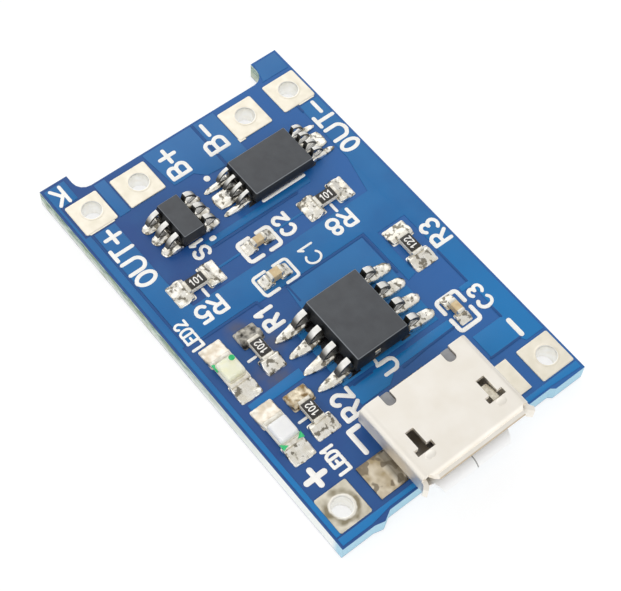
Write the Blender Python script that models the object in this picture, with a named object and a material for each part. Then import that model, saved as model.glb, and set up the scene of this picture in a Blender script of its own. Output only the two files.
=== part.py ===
"""Lithium battery charger module: a printed board with six wire pads, a charging socket, three chips,
five resistors, three capacitors and two indicator lamps.

Metres, +Z up. The origin is on the board's underside at its middle, and +X runs to the charging socket.
"""

import math

import bmesh
import bpy
from mathutils import Vector

MM = 0.001

# Gap between pieces that touch
CLEARANCE = 0.02 * MM

# Board
BOARD_LENGTH = 28.0 * MM
BOARD_WIDTH = 17.5 * MM
BOARD_THICKNESS = 1.2 * MM
RECESS_DEPTH = 1.4 * MM
RECESS_RADIUS = 0.8 * MM
EAR_WIDTH = 1.88 * MM
SETBACK_DEPTH = 0.2 * MM
SETBACK_MARGIN = 2.2 * MM
SETBACK_SLOPE = 0.26 * MM
STUB_REACH = 0.15 * MM
STUB_WIDTH = 1.2 * MM

# Wire pads
LAND_THICKNESS = 0.08 * MM
PAD_LENGTH = 2.35 * MM
PLUS_PAD_WIDTH = 2.2 * MM
MINUS_PAD_WIDTH = 2.35 * MM
BATTERY_PAD_WIDTH = 2.5 * MM
PAD_GAP = 0.95 * MM
OUTPUT_END_INSET = 0.47 * MM
INPUT_END_INSET = 0.7 * MM
PLUS_SIDE_INSET = 0.45 * MM
MINUS_SIDE_INSET = 0.15 * MM
HOLE_DIAMETER = 1.3 * MM
HOLE_CHAMFER = 0.07 * MM
HOLE_SHIFT = 0.08 * MM
PLATING = 0.05 * MM

# Socket shell
SHELL_OVERHANG = 0.2 * MM
SHELL_LENGTH = 5.1 * MM
SHELL_WIDTH = 7.5 * MM
SHELL_HEIGHT = 2.45 * MM
SHELL_SLOPE = 0.93 * MM
SHELL_BEND = 0.42 * MM
SHEET = 0.3 * MM
LIP_BEND = 0.38 * MM
FLOOR_LIP_BEND = 0.48 * MM
LIP_ANGLE = math.radians(60)
LIP_STEPS = 4
LIP_TAPER = 0.9
SLOT_FROM_SIDE = 1.25 * MM
SLOT_FROM_FRONT = 1.08 * MM
SLOT_BAR_LENGTH = 0.37 * MM
SLOT_BAR_WIDTH = 1.18 * MM
SLOT_STEM_LENGTH = 1.1 * MM
SLOT_STEM_WIDTH = 0.55 * MM
NOTCH_FROM_SIDE = 1.61 * MM
NOTCH_WIDTH = 0.65 * MM
NOTCH_DEPTH = 0.89 * MM
REAR_STEP = 0.14 * MM
LUG_FROM_SIDE = 0.25 * MM
LUG_LENGTH = 2.15 * MM
LUG_FROM_FRONT = 1.1 * MM
LUG_BITE = 0.25 * MM

# Socket solder
SOCKET_LAND_LENGTH = 2.2 * MM
SOCKET_LAND_GAP = 0.75 * MM
SOCKET_LAND_UNDER = 0.5 * MM
SOCKET_FILLET = 0.7 * MM
SOCKET_FILLET_HEIGHT = 0.42 * MM

# Socket insulator and contacts
CONTACT_COUNT = 5
CONTACT_PITCH = 0.65 * MM
CONTACT_WIDTH = 0.3 * MM
CONTACT_THICKNESS = 0.15 * MM
CONTACT_TAIL = 0.6 * MM
CONTACT_LAND_WIDTH = 0.4 * MM
CONTACT_LAND_REACH = 0.15 * MM
CONTACT_RISE = 0.1 * MM
BLOCK_LENGTH = 1.6 * MM
TONGUE_MARGIN = 0.4 * MM
TONGUE_THICKNESS = 0.6 * MM
TONGUE_DROP = 0.4 * MM
TONGUE_FROM_FRONT = 0.55 * MM
CONTACT_FROM_TIP = 0.25 * MM
GROOVE_DEPTH = 0.1 * MM

# Charger chip
CHARGER_LENGTH = 4.87 * MM
CHARGER_WIDTH = 3.87 * MM
CHARGER_TOP = 1.55 * MM
CHARGER_SHOULDER = 0.88 * MM
CHARGER_LEAD_REACH = 1.065 * MM
CHARGER_PITCH = 1.27 * MM
CHARGER_LEAD_WIDTH = 0.42 * MM
CHARGER_LEAD_THICKNESS = 0.2 * MM
CHARGER_FOOT = 0.6 * MM
CHARGER_LAND_WIDTH = 0.65 * MM
CHARGER_LAND_REACH = 1.07 * MM

# Switch chip
SWITCH_LENGTH = 3.0 * MM
SWITCH_WIDTH = 4.4 * MM
SWITCH_TOP = 1.05 * MM
SWITCH_SHOULDER = 0.58 * MM
SWITCH_LEAD_REACH = 1.0 * MM
SWITCH_PITCH = 0.65 * MM
SWITCH_LEAD_WIDTH = 0.25 * MM
SWITCH_LEAD_THICKNESS = 0.15 * MM
SWITCH_FOOT = 0.55 * MM
SWITCH_LAND_WIDTH = 0.35 * MM
SWITCH_LAND_REACH = 0.82 * MM

# Protection chip
PROTECTION_LENGTH = 2.9 * MM
PROTECTION_WIDTH = 1.6 * MM
PROTECTION_TOP = 1.15 * MM
PROTECTION_SHOULDER = 0.6 * MM
PROTECTION_LEAD_REACH = 0.6 * MM
PROTECTION_PITCH = 0.95 * MM
PROTECTION_LEAD_WIDTH = 0.4 * MM
PROTECTION_LEAD_THICKNESS = 0.15 * MM
PROTECTION_FOOT = 0.35 * MM
PROTECTION_LAND_WIDTH = 0.62 * MM
PROTECTION_LAND_REACH = 0.53 * MM

# All chip bodies
CHIP_STANDOFF = 0.1 * MM
CHIP_DRAFT = 0.13 * MM

# Solder and the depth that metal sits in it
SOLDER_BITE = 0.02 * MM
SOLDER_SKIN = 0.01 * MM
LEAD_SOLDER_HEIGHT = 0.1 * MM
LAND_ROUNDING = 0.1 * MM
DOME_SQUARENESS = 0.7
HEEL_LAND = 0.1 * MM
LEAD_LAND_NOSE = 0.3 * MM
NOSE_ANGLE = math.radians(80)
# How solder falls away from metal: share of the way to the land's end, and share of its height
FILLET = ((0.2, 0.55), (0.45, 0.28), (0.75, 0.12))
# Width of the solder on a land, as a share of the land or of the metal
SOLDER_SPREAD = 0.9

# Resistors
RESISTOR_LENGTH = 1.6 * MM
RESISTOR_WIDTH = 0.8 * MM
RESISTOR_HEIGHT = 0.45 * MM
RESISTOR_CAP = 0.24 * MM
RESISTOR_CAP_WALL = 0.04 * MM
RESISTOR_LAND_SPAN = 3.35 * MM
RESISTOR_LAND_WIDTH = 1.62 * MM
RESISTOR_SOLDER_HEIGHT = 0.3 * MM

# Capacitors
CAPACITOR_LENGTH = 1.0 * MM
CAPACITOR_CAP = 0.24 * MM
CAPACITOR_CAP_WALL = 0.02 * MM
CAPACITOR_LAND_SPAN = 2.1 * MM
CAPACITOR_LAND_WIDTH = 0.85 * MM
INPUT_CAPACITOR_WIDTH = 0.6 * MM
SMALL_CAPACITOR_WIDTH = 0.5 * MM

# Indicator lamps
LAMP_LENGTH = 2.0 * MM
LAMP_WIDTH = 1.25 * MM
LAMP_BASE_HEIGHT = 0.3 * MM
LAMP_TOP = 0.8 * MM
LENS_LENGTH = 1.35 * MM
LENS_DRAFT = 0.06 * MM
LAMP_LAND_SPAN = 4.15 * MM
LAMP_LAND_WIDTH = 1.5 * MM
LAMP_SOLDER_HEIGHT = 0.26 * MM

# Gaps between neighbours in a row. Where the board is longer or wider, the gaps of a row share the room.
SOCKET_TO_CHARGER = 2.465 * MM
CHARGER_TO_CAPACITOR_1 = 2.42 * MM
CAPACITOR_1_TO_RESISTORS = 1.125 * MM
RESISTORS_TO_SWITCH = 1.3 * MM
SWITCH_TO_PADS = 1.23 * MM
INPUT_PAD_TO_LAMP_1 = 2.03 * MM
LAMP_1_TO_LAMP_2 = 0.5 * MM
LAMP_2_TO_RESISTOR_5 = 2.755 * MM
EDGE_TO_LAMPS = 0.92 * MM
LAMP_2_TO_RESISTOR_1 = 0.59 * MM
RESISTOR_1_TO_CHARGER = 0.23 * MM
CHARGER_TO_RESISTOR_3 = 1.04 * MM
RESISTOR_3_TO_EDGE = 1.84 * MM
EDGE_TO_PROTECTION = 3.24 * MM
PROTECTION_TO_SWITCH = 0.56 * MM
SWITCH_TO_EDGE = 1.8 * MM
EDGE_TO_RESISTOR_5 = 1.855 * MM
RESISTOR_5_TO_CAPACITOR_2 = 1.755 * MM
CAPACITOR_2_TO_RESISTOR_6 = 2.285 * MM
RESISTOR_6_TO_EDGE = 2.805 * MM

# How far a piece stands off the line of its row
RESISTOR_1_SHIFT = -0.05 * MM
RESISTOR_2_SHIFT = -0.15 * MM
RESISTOR_3_SHIFT = -0.15 * MM
PROTECTION_SHIFT = -0.05 * MM
CAPACITOR_1_SHIFT = -0.64 * MM
CAPACITOR_2_SHIFT = -0.04 * MM
CAPACITOR_3_SHIFT = -0.68 * MM

# Worked out from the sizes above
OUTPUT_END = -BOARD_LENGTH / 2
INPUT_END = BOARD_LENGTH / 2
SEAT = BOARD_THICKNESS + CLEARANCE
METAL_BOTTOM = LAND_THICKNESS - SOLDER_BITE
OUTER_HALF = SHELL_WIDTH / 2
FLOOR_HALF = OUTER_HALF - SHELL_SLOPE
LUG_FACE = OUTER_HALF - LUG_FROM_SIDE
CAVITY_TOP = SHELL_HEIGHT - SHEET
TONGUE_BOTTOM = CAVITY_TOP - TONGUE_DROP - TONGUE_THICKNESS
TONGUE_TIP = -TONGUE_FROM_FRONT
CONTACT_TIP = TONGUE_TIP - CONTACT_FROM_TIP
CONTACT_TOP = TONGUE_BOTTOM + GROOVE_DEPTH - CLEARANCE
SHELL_REAR = -SHELL_LENGTH
CONTACT_RISER = SHELL_REAR + CONTACT_RISE
BLOCK_REAR = CONTACT_RISER + CONTACT_THICKNESS / 2 + CLEARANCE
CHARGER_SPAN = CHARGER_WIDTH + 2 * CHARGER_LEAD_REACH
SWITCH_SPAN = SWITCH_WIDTH + 2 * SWITCH_LEAD_REACH
PROTECTION_SPAN = PROTECTION_WIDTH + 2 * PROTECTION_LEAD_REACH
BEYOND = 0.5 * MM


def linear(hex_colour):
    """An sRGB colour such as 3F6FB0 as linear red, green, blue and alpha."""
    values = [int(hex_colour[k : k + 2], 16) / 255 for k in (0, 2, 4)]
    return [v / 12.92 if v <= 0.04045 else ((v + 0.055) / 1.055) ** 2.4 for v in values] + [1.0]


def finish(name, hex_colour, roughness, metallic=0.0):
    material = bpy.data.materials.new(name)
    material.use_nodes = True
    shader = material.node_tree.nodes["Principled BSDF"]
    shader.inputs["Base Color"].default_value = linear(hex_colour)
    shader.inputs["Roughness"].default_value = roughness
    shader.inputs["Metallic"].default_value = metallic
    material.diffuse_color = linear(hex_colour)
    return material


def solid(name, points, faces):
    """A closed mesh with its faces turned outwards and its round stretches shaded smooth."""
    mesh = bpy.data.meshes.new(name)
    mesh.from_pydata(points, [], faces)
    shape = bmesh.new()
    shape.from_mesh(mesh)
    bmesh.ops.recalc_face_normals(shape, faces=shape.faces)
    shape.to_mesh(mesh)
    shape.free()
    mesh.shade_smooth()
    mesh.set_sharp_from_angle(angle=math.radians(35))
    return mesh


def loft(name, rings, closed=False):
    """Skin over rings of equally many points: the two ends are capped, or joined when closed."""
    count = len(rings[0])
    points = [point for ring in rings for point in ring]
    faces = []
    for k in range(len(rings) if closed else len(rings) - 1):
        low = k * count
        high = (k + 1) % len(rings) * count
        for i in range(count):
            j = (i + 1) % count
            faces.append((low + i, low + j, high + j, high + i))
    if not closed:
        faces.append(range(count))
        faces.append(range(len(points) - count, len(points)))
    return solid(name, points, faces)


def prism(name, outline, start, end, axis="Z"):
    """An outline pushed along an axis. Its points are (x, y), (y, z) along X or (x, z) along Y."""
    place = {
        "X": lambda a, b, t: (t, a, b),
        "Y": lambda a, b, t: (a, t, b),
        "Z": lambda a, b, t: (a, b, t),
    }[axis]
    return loft(name, [[place(a, b, t) for a, b in outline] for t in (start, end)])


def box(name, x, y, z):
    """A block between pairs of x, y and z."""
    outline = [(x[0], y[0]), (x[1], y[0]), (x[1], y[1]), (x[0], y[1])]
    return prism(name, outline, z[0], z[1])


def rounded(corners, steps=4):
    """An outline whose corners (x, y, radius) are arcs, or plain points where the radius is 0."""
    outline = []
    for k, (x, y, radius) in enumerate(corners):
        here = Vector((x, y))
        if not radius:
            outline.append(here)
            continue
        back = (Vector(corners[k - 1][:2]) - here).normalized()
        on = (Vector(corners[(k + 1) % len(corners)][:2]) - here).normalized()
        half = back.angle(on) / 2
        centre = here + (back + on).normalized() * radius / math.sin(half)
        start = here + back * radius / math.tan(half) - centre
        stop = here + on * radius / math.tan(half) - centre
        first = math.atan2(start.y, start.x)
        turn = math.remainder(math.atan2(stop.y, stop.x) - first, 2 * math.pi)
        for step in range(steps + 1):
            angle = first + turn * step / steps
            outline.append(centre + radius * Vector((math.cos(angle), math.sin(angle))))
    return outline


def strip(path, thickness):
    """The outline of a bent strip, whose path (x, z, bend radius) runs along its middle."""
    middle = rounded(path, steps=3)
    upper = []
    lower = []
    for k, here in enumerate(middle):
        before = here - middle[k - 1] if k else middle[1] - here
        after = middle[k + 1] - here if k < len(middle) - 1 else before
        along = (before.normalized() + after.normalized()).normalized()
        across = Vector((-along.y, along.x)) * thickness / 2 / along.dot(after.normalized())
        upper.append(here + across)
        lower.append(here - across)
    return upper + lower[::-1]


def solder(name, sections, steps=6):
    """A land with solder on it, along X. Each section is (x, half width, solder half width, solder height)."""
    rings = []
    for x, half_width, solder_half, height in sections:
        ring = [(x, -half_width, 0), (x, -half_width, LAND_THICKNESS)]
        for step in range(steps + 1):
            angle = math.pi * (1 - step / steps)
            rise = height * math.sin(angle) ** DOME_SQUARENESS if 0 < step < steps else 0
            ring.append((x, solder_half * math.cos(angle), LAND_THICKNESS + rise))
        ring += [(x, half_width, LAND_THICKNESS), (x, half_width, 0)]
        rings.append(ring)
    return loft(name, rings)


def place_at(name, place, turn=0.0):
    """An empty on the board that carries the pieces of one component."""
    empty = bpy.data.objects.new(name, None)
    empty.location = (*place, SEAT)
    empty.rotation_euler = (0, 0, turn)
    empty.empty_display_size = MM
    bpy.context.scene.collection.objects.link(empty)
    return empty


def piece(name, mesh, material, carrier=None, at=(0, 0, 0), turn=0.0):
    """An object of the part, placed on its carrier."""
    obj = bpy.data.objects.new(name, mesh)
    bpy.context.scene.collection.objects.link(obj)
    obj.parent = carrier
    obj.location = at
    obj.rotation_euler = (0, 0, turn)
    if not mesh.materials:
        mesh.materials.append(None)
    obj.material_slots[0].link = "OBJECT"
    obj.material_slots[0].material = material
    return obj


def cut(obj, cutter_mesh, at=(0, 0, 0)):
    """Takes a shape away from an object, in the object's own frame."""
    cutter = bpy.data.objects.new(cutter_mesh.name, cutter_mesh)
    bpy.context.scene.collection.objects.link(cutter)
    cutter.parent = obj
    cutter.location = at
    cutter.hide_render = True
    cutter.display_type = "WIRE"
    modifier = obj.modifiers.new(cutter_mesh.name, "BOOLEAN")
    modifier.operation = "DIFFERENCE"
    modifier.object = cutter


def united(name, meshes):
    """One closed mesh made of meshes that overlap."""
    helpers = [bpy.data.objects.new(mesh.name, mesh) for mesh in meshes]
    for helper in helpers:
        bpy.context.scene.collection.objects.link(helper)
    for other in helpers[1:]:
        modifier = helpers[0].modifiers.new(other.name, "BOOLEAN")
        modifier.operation = "UNION"
        modifier.object = other
    graph = bpy.context.evaluated_depsgraph_get()
    joined = bpy.data.meshes.new_from_object(helpers[0].evaluated_get(graph))
    joined.name = name
    for helper in helpers:
        bpy.data.objects.remove(helper)
    return joined


def mirrored(mesh):
    """A copy of a mesh turned half round the Z axis."""
    copy = mesh.copy()
    for vert in copy.vertices:
        vert.co.x = -vert.co.x
        vert.co.y = -vert.co.y
    return copy


def in_a_row(start, stop, sizes, gaps):
    """Middles of pieces set in a row from start to stop. The free room is shared out as the gaps are."""
    way = 1 if stop > start else -1
    stretch = (abs(stop - start) - sum(sizes)) / sum(gaps)
    middles = []
    edge = start
    for size, gap in zip(sizes, gaps):
        middles.append(edge + way * (gap * stretch + size / 2))
        edge = middles[-1] + way * size / 2
    return middles


def layout():
    """Where each component's middle lies on the board, as (x, y)."""
    side = BOARD_WIDTH / 2
    socket_back = INPUT_END + SHELL_OVERHANG - SHELL_LENGTH
    output_pads = OUTPUT_END + RECESS_DEPTH + OUTPUT_END_INSET + PAD_LENGTH
    charger_x, capacitor_1_x, resistors_x, switch_x = in_a_row(
        socket_back,
        output_pads,
        [CHARGER_LENGTH, CAPACITOR_LAND_WIDTH, RESISTOR_LAND_WIDTH, SWITCH_LENGTH],
        [
            SOCKET_TO_CHARGER,
            CHARGER_TO_CAPACITOR_1,
            CAPACITOR_1_TO_RESISTORS,
            RESISTORS_TO_SWITCH,
            SWITCH_TO_PADS,
        ],
    )
    lamp_1_x, lamp_2_x = in_a_row(
        INPUT_END - INPUT_END_INSET - PAD_LENGTH,
        resistors_x + RESISTOR_LAND_WIDTH / 2,
        [LAMP_LAND_SPAN, LAMP_LAND_SPAN],
        [INPUT_PAD_TO_LAMP_1, LAMP_1_TO_LAMP_2, LAMP_2_TO_RESISTOR_5],
    )
    charger_depth = CHARGER_SPAN + 2 * CHARGER_LAND_REACH
    lamps_y, resistor_1_y, charger_y, resistor_3_y = in_a_row(
        -side,
        side,
        [LAMP_LAND_WIDTH, RESISTOR_LAND_WIDTH, charger_depth, RESISTOR_LAND_WIDTH],
        [
            EDGE_TO_LAMPS,
            LAMP_2_TO_RESISTOR_1,
            RESISTOR_1_TO_CHARGER,
            CHARGER_TO_RESISTOR_3,
            RESISTOR_3_TO_EDGE,
        ],
    )
    protection_depth = PROTECTION_SPAN + 2 * PROTECTION_LAND_REACH
    switch_depth = SWITCH_SPAN + 2 * SWITCH_LAND_REACH
    protection_y, switch_y = in_a_row(
        -side,
        side,
        [protection_depth, switch_depth],
        [EDGE_TO_PROTECTION, PROTECTION_TO_SWITCH, SWITCH_TO_EDGE],
    )
    resistor_5_y, capacitor_2_y, resistor_6_y = in_a_row(
        -side,
        side,
        [RESISTOR_LAND_SPAN, CAPACITOR_LAND_SPAN, RESISTOR_LAND_SPAN],
        [EDGE_TO_RESISTOR_5, RESISTOR_5_TO_CAPACITOR_2, CAPACITOR_2_TO_RESISTOR_6, RESISTOR_6_TO_EDGE],
    )
    return {
        "charger_chip": (charger_x, charger_y),
        "switch_chip": (switch_x, switch_y),
        "protection_chip": (switch_x + PROTECTION_SHIFT, protection_y),
        "led_1": (lamp_1_x, lamps_y),
        "led_2": (lamp_2_x, lamps_y),
        "resistor_1": (lamp_2_x + RESISTOR_1_SHIFT, resistor_1_y),
        "resistor_2": (lamp_1_x, resistor_1_y + RESISTOR_2_SHIFT),
        "resistor_3": (lamp_2_x + RESISTOR_3_SHIFT, resistor_3_y),
        "resistor_5": (resistors_x, resistor_5_y),
        "resistor_6": (resistors_x, resistor_6_y),
        "capacitor_1": (capacitor_1_x, capacitor_2_y + CAPACITOR_1_SHIFT),
        "capacitor_2": (resistors_x + CAPACITOR_2_SHIFT, capacitor_2_y),
        "capacitor_3": (lamp_1_x, resistor_3_y + CAPACITOR_3_SHIFT),
    }


def board_outline():
    """The board from above: a recess at the output end, and a set-back socket edge with a tab stub."""
    side = BOARD_WIDTH / 2
    ear = side - EAR_WIDTH
    recess = OUTPUT_END + RECESS_DEPTH
    set_back = INPUT_END - SETBACK_DEPTH
    low = -side + SETBACK_MARGIN
    high = side - SETBACK_MARGIN
    corners = [
        (OUTPUT_END, -side, 0),
        (INPUT_END, -side, 0),
        (INPUT_END, low, 0),
        (INPUT_END + STUB_REACH, low + STUB_WIDTH / 2, STUB_REACH),
        (set_back, low + STUB_WIDTH, STUB_REACH),
        (set_back, high - SETBACK_SLOPE, 0),
        (INPUT_END, high, 0),
        (INPUT_END, side, 0),
        (OUTPUT_END, side, 0),
        (OUTPUT_END, ear, 0),
        (recess, ear, RECESS_RADIUS),
        (recess, -ear, RECESS_RADIUS),
        (OUTPUT_END, -ear, 0),
    ]
    return rounded(corners)


def pad_rows():
    """Name, land centre, land width and hole shift of each wire pad."""
    plus_edge = -BOARD_WIDTH / 2 + PLUS_SIDE_INSET
    minus_edge = BOARD_WIDTH / 2 - MINUS_SIDE_INSET
    output_x = OUTPUT_END + RECESS_DEPTH + OUTPUT_END_INSET + PAD_LENGTH / 2
    input_x = INPUT_END - INPUT_END_INSET - PAD_LENGTH / 2
    plus_y = plus_edge + PLUS_PAD_WIDTH / 2
    minus_y = minus_edge - MINUS_PAD_WIDTH / 2
    battery_plus_y = plus_edge + PLUS_PAD_WIDTH + PAD_GAP + BATTERY_PAD_WIDTH / 2
    battery_minus_y = minus_edge - MINUS_PAD_WIDTH - PAD_GAP - BATTERY_PAD_WIDTH / 2
    shifted = (-HOLE_SHIFT, HOLE_SHIFT)
    return [
        ("pad_out_plus", (output_x, plus_y), PLUS_PAD_WIDTH, shifted),
        ("pad_out_minus", (output_x, minus_y), MINUS_PAD_WIDTH, shifted),
        ("pad_battery_plus", (output_x, battery_plus_y), BATTERY_PAD_WIDTH, shifted),
        ("pad_battery_minus", (output_x, battery_minus_y), BATTERY_PAD_WIDTH, shifted),
        ("pad_in_plus", (input_x, plus_y), PLUS_PAD_WIDTH, (0, 0)),
        ("pad_in_minus", (input_x, minus_y), MINUS_PAD_WIDTH, (0, 0)),
    ]


def square_ring(half_length, half_width, z, count=32):
    """Points on a rectangle, one for each angle of a circle of as many points."""
    ring = []
    for k in range(count):
        angle = 2 * math.pi * k / count
        reach = max(abs(math.cos(angle)), abs(math.sin(angle)))
        ring.append((half_length * math.cos(angle) / reach, half_width * math.sin(angle) / reach, z))
    return ring


def round_ring(centre, radius, z, count=32):
    ring = []
    for k in range(count):
        angle = 2 * math.pi * k / count
        ring.append((centre[0] + radius * math.cos(angle), centre[1] + radius * math.sin(angle), z))
    return ring


def pad_mesh(name, width, hole):
    """A plated hole with a square land on each side of the board, as one tinned eyelet."""
    length_half = PAD_LENGTH / 2
    width_half = width / 2
    radius = HOLE_DIAMETER / 2
    top = SEAT + LAND_THICKNESS
    rings = [
        square_ring(length_half, width_half, SEAT),
        square_ring(length_half, width_half, top),
        round_ring(hole, radius + HOLE_CHAMFER, top),
        round_ring(hole, radius, top - HOLE_CHAMFER),
        round_ring(hole, radius, HOLE_CHAMFER),
        round_ring(hole, radius + HOLE_CHAMFER, 0),
        square_ring(length_half, width_half, 0),
        square_ring(length_half, width_half, LAND_THICKNESS),
        round_ring(hole, radius + PLATING + HOLE_CHAMFER, LAND_THICKNESS),
        round_ring(hole, radius + PLATING + HOLE_CHAMFER, SEAT),
    ]
    return loft(name, rings, closed=True)


def pad_cutter(name, width, hole):
    """The drilled hole, with a pocket for the land that lies flush with the underside."""
    length_half = PAD_LENGTH / 2 + CLEARANCE
    width_half = width / 2 + CLEARANCE
    radius = HOLE_DIAMETER / 2 + PLATING + HOLE_CHAMFER + CLEARANCE
    pocket = LAND_THICKNESS + CLEARANCE
    rings = [
        square_ring(length_half, width_half, -BEYOND),
        square_ring(length_half, width_half, pocket),
        round_ring(hole, radius, pocket),
        round_ring(hole, radius, BOARD_THICKNESS + BEYOND),
    ]
    return loft(name, rings)


def make_board_and_pads():
    mask = finish("solder_mask", "3F6FB0", 0.35)
    tin = finish("tinned_pad", "F2EEE0", 0.35, 0.6)
    mesh = prism("circuit_board", board_outline(), 0, BOARD_THICKNESS)
    board = piece("circuit_board", mesh, mask)
    for name, (x, y), width, hole in pad_rows():
        cut(board, pad_cutter(name + "_hole", width, hole), (x, y, 0))
        piece(name, pad_mesh(name, width, hole), tin, at=(x, y, 0))


def shell_corners(inset):
    """The socket's section (y, z, bend) seen along X, inset from its outer face by so much."""
    slant = inset * math.tan(math.pi / 8)
    side = OUTER_HALF - inset
    floor = FLOOR_HALF - slant
    bend = SHELL_BEND - inset
    shoulder = OUTER_HALF - FLOOR_HALF + slant
    return [
        (-floor, inset, bend),
        (floor, inset, bend),
        (side, shoulder, bend),
        (side, SHELL_HEIGHT - inset, bend),
        (-side, SHELL_HEIGHT - inset, bend),
        (-side, shoulder, bend),
    ]


def flare(shape, faces, outward, bend):
    """Bends the flat end of one shell wall outwards, a little narrower at each step."""
    outer_face = max(vert.co.dot(outward) for face in faces for vert in face.verts)
    pivot = outward * (outer_face + bend)
    step = LIP_ANGLE / LIP_STEPS
    narrow = LIP_TAPER ** (1 / LIP_STEPS)
    side = 1 if outward.z else 2
    for _ in range(LIP_STEPS):
        made = bmesh.ops.extrude_face_region(shape, geom=faces)["geom"]
        bmesh.ops.delete(shape, geom=faces, context="FACES_ONLY")
        verts = [item for item in made if isinstance(item, bmesh.types.BMVert)]
        faces = [item for item in made if isinstance(item, bmesh.types.BMFace)]
        middle = sum(vert.co[side] for vert in verts) / len(verts)
        for vert in verts:
            arm = vert.co - pivot
            drop = arm.dot(outward)
            turned_drop = drop * math.cos(step) + arm.x * math.sin(step)
            turned_reach = arm.x * math.cos(step) - drop * math.sin(step)
            vert.co += outward * (turned_drop - drop)
            vert.co.x = pivot.x + turned_reach
            vert.co[side] = middle + (vert.co[side] - middle) * narrow


def shell_tube():
    """The bent sheet tube with its four flared lips. Its front end is at x = 0."""
    outer = rounded(shell_corners(0), steps=4)
    inner = rounded(shell_corners(SHEET), steps=4)
    rings = []
    for outline, x in ((outer, SHELL_REAR), (outer, 0), (inner, 0), (inner, SHELL_REAR)):
        rings.append([(x, y, z) for y, z in outline])
    mesh = loft("socket_shell", rings, closed=True)
    shape = bmesh.new()
    shape.from_mesh(mesh)
    walls = [
        (Vector((0, 0, 1)), LIP_BEND),
        (Vector((0, 0, -1)), FLOOR_LIP_BEND),
        (Vector((0, 1, 0)), LIP_BEND),
        (Vector((0, -1, 0)), LIP_BEND),
    ]
    for outward, bend in walls:
        front = [face for face in shape.faces if all(abs(vert.co.x) < CLEARANCE for vert in face.verts)]
        reach = max(face.calc_center_median().dot(outward) for face in front)
        flat = [face for face in front if face.calc_center_median().dot(outward) > reach - CLEARANCE]
        widest = max(flat, key=lambda face: face.calc_area())
        flare(shape, [widest], outward, bend)
    shape.to_mesh(mesh)
    shape.free()
    return mesh


def lug(side):
    """One mounting ear: sheet that stands on its land and runs up into the shell's sloping wall."""
    outer = LUG_FACE
    inner = outer - SHEET
    slope = outer - FLOOR_HALF
    foot = LAND_THICKNESS + CLEARANCE
    outline = [
        (side * inner, foot),
        (side * outer, foot),
        (side * outer, slope + LUG_BITE),
        (side * inner, slope + LUG_BITE - SHEET),
    ]
    return prism("lug", outline, -LUG_FROM_FRONT - LUG_LENGTH, -LUG_FROM_FRONT, "X")


def latch_slot(name):
    """A T with its bar to the front, cut through the shell's top."""
    bar = SLOT_BAR_WIDTH / 2
    stem = SLOT_STEM_WIDTH / 2
    front = -SLOT_FROM_FRONT
    step = front - SLOT_BAR_LENGTH
    back = step - SLOT_STEM_LENGTH
    outline = [(back, -stem), (step, -stem), (step, -bar), (front, -bar)]
    outline += [(x, -y) for x, y in reversed(outline)]
    return prism(name, outline, SHELL_HEIGHT - SHEET - BEYOND, SHELL_HEIGHT + BEYOND)


def rear_notches():
    """What is cut from the back edge of the shell's top: two rounded notches and a shallow step between."""
    centre = OUTER_HALF - NOTCH_FROM_SIDE
    inner = centre - NOTCH_WIDTH / 2
    outer = centre + NOTCH_WIDTH / 2
    deep = SHELL_REAR + NOTCH_DEPTH
    step = SHELL_REAR + REAR_STEP
    behind = SHELL_REAR - BEYOND
    bend = NOTCH_WIDTH * 0.4
    corners = [
        (behind, -outer, 0),
        (deep, -outer, bend),
        (deep, -inner, bend),
        (step, -inner, 0),
        (step, inner, 0),
        (deep, inner, bend),
        (deep, outer, bend),
        (behind, outer, 0),
    ]
    return prism("rear_notches", rounded(corners), SHELL_HEIGHT - SHEET - BEYOND, SHELL_HEIGHT + BEYOND)


def contact_offsets():
    return [(k - (CONTACT_COUNT - 1) / 2) * CONTACT_PITCH for k in range(CONTACT_COUNT)]


def tail_window():
    """The opening in the back of the shell's floor that the contacts come down through."""
    half = contact_offsets()[-1] + CONTACT_WIDTH / 2 + CONTACT_THICKNESS
    front = BLOCK_REAR + CONTACT_THICKNESS
    return box("tail_window", (SHELL_REAR - BEYOND, front), (-half, half), (-BEYOND, SHEET + SHELL_BEND / 2))


def contact_mesh():
    """One contact: a tail soldered to the board, a riser behind the block and a blade under the tongue."""
    foot_z = METAL_BOTTOM + CONTACT_THICKNESS / 2
    blade_z = CONTACT_TOP - CONTACT_THICKNESS / 2
    bend = CONTACT_THICKNESS * 0.6
    end = CONTACT_RISER - CONTACT_TAIL
    path = [
        (end, foot_z, 0),
        (CONTACT_RISER, foot_z, bend),
        (CONTACT_RISER, blade_z, bend),
        (CONTACT_TIP, blade_z, 0),
    ]
    half = CONTACT_WIDTH / 2
    blade = prism("contact", strip(path, CONTACT_THICKNESS), -half, half, "Y")
    land = CONTACT_LAND_WIDTH / 2
    land_end = end - CONTACT_LAND_REACH
    land_front = CONTACT_RISER - bend
    spread = land * SOLDER_SPREAD
    sections = [
        (land_end, land, spread, SOLDER_SKIN),
        (end - CLEARANCE, land, spread, LEAD_SOLDER_HEIGHT),
        (land_front, land, spread, LEAD_SOLDER_HEIGHT / 2),
    ]
    return united("contact", [blade, solder("contact_land", sections)])


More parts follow.
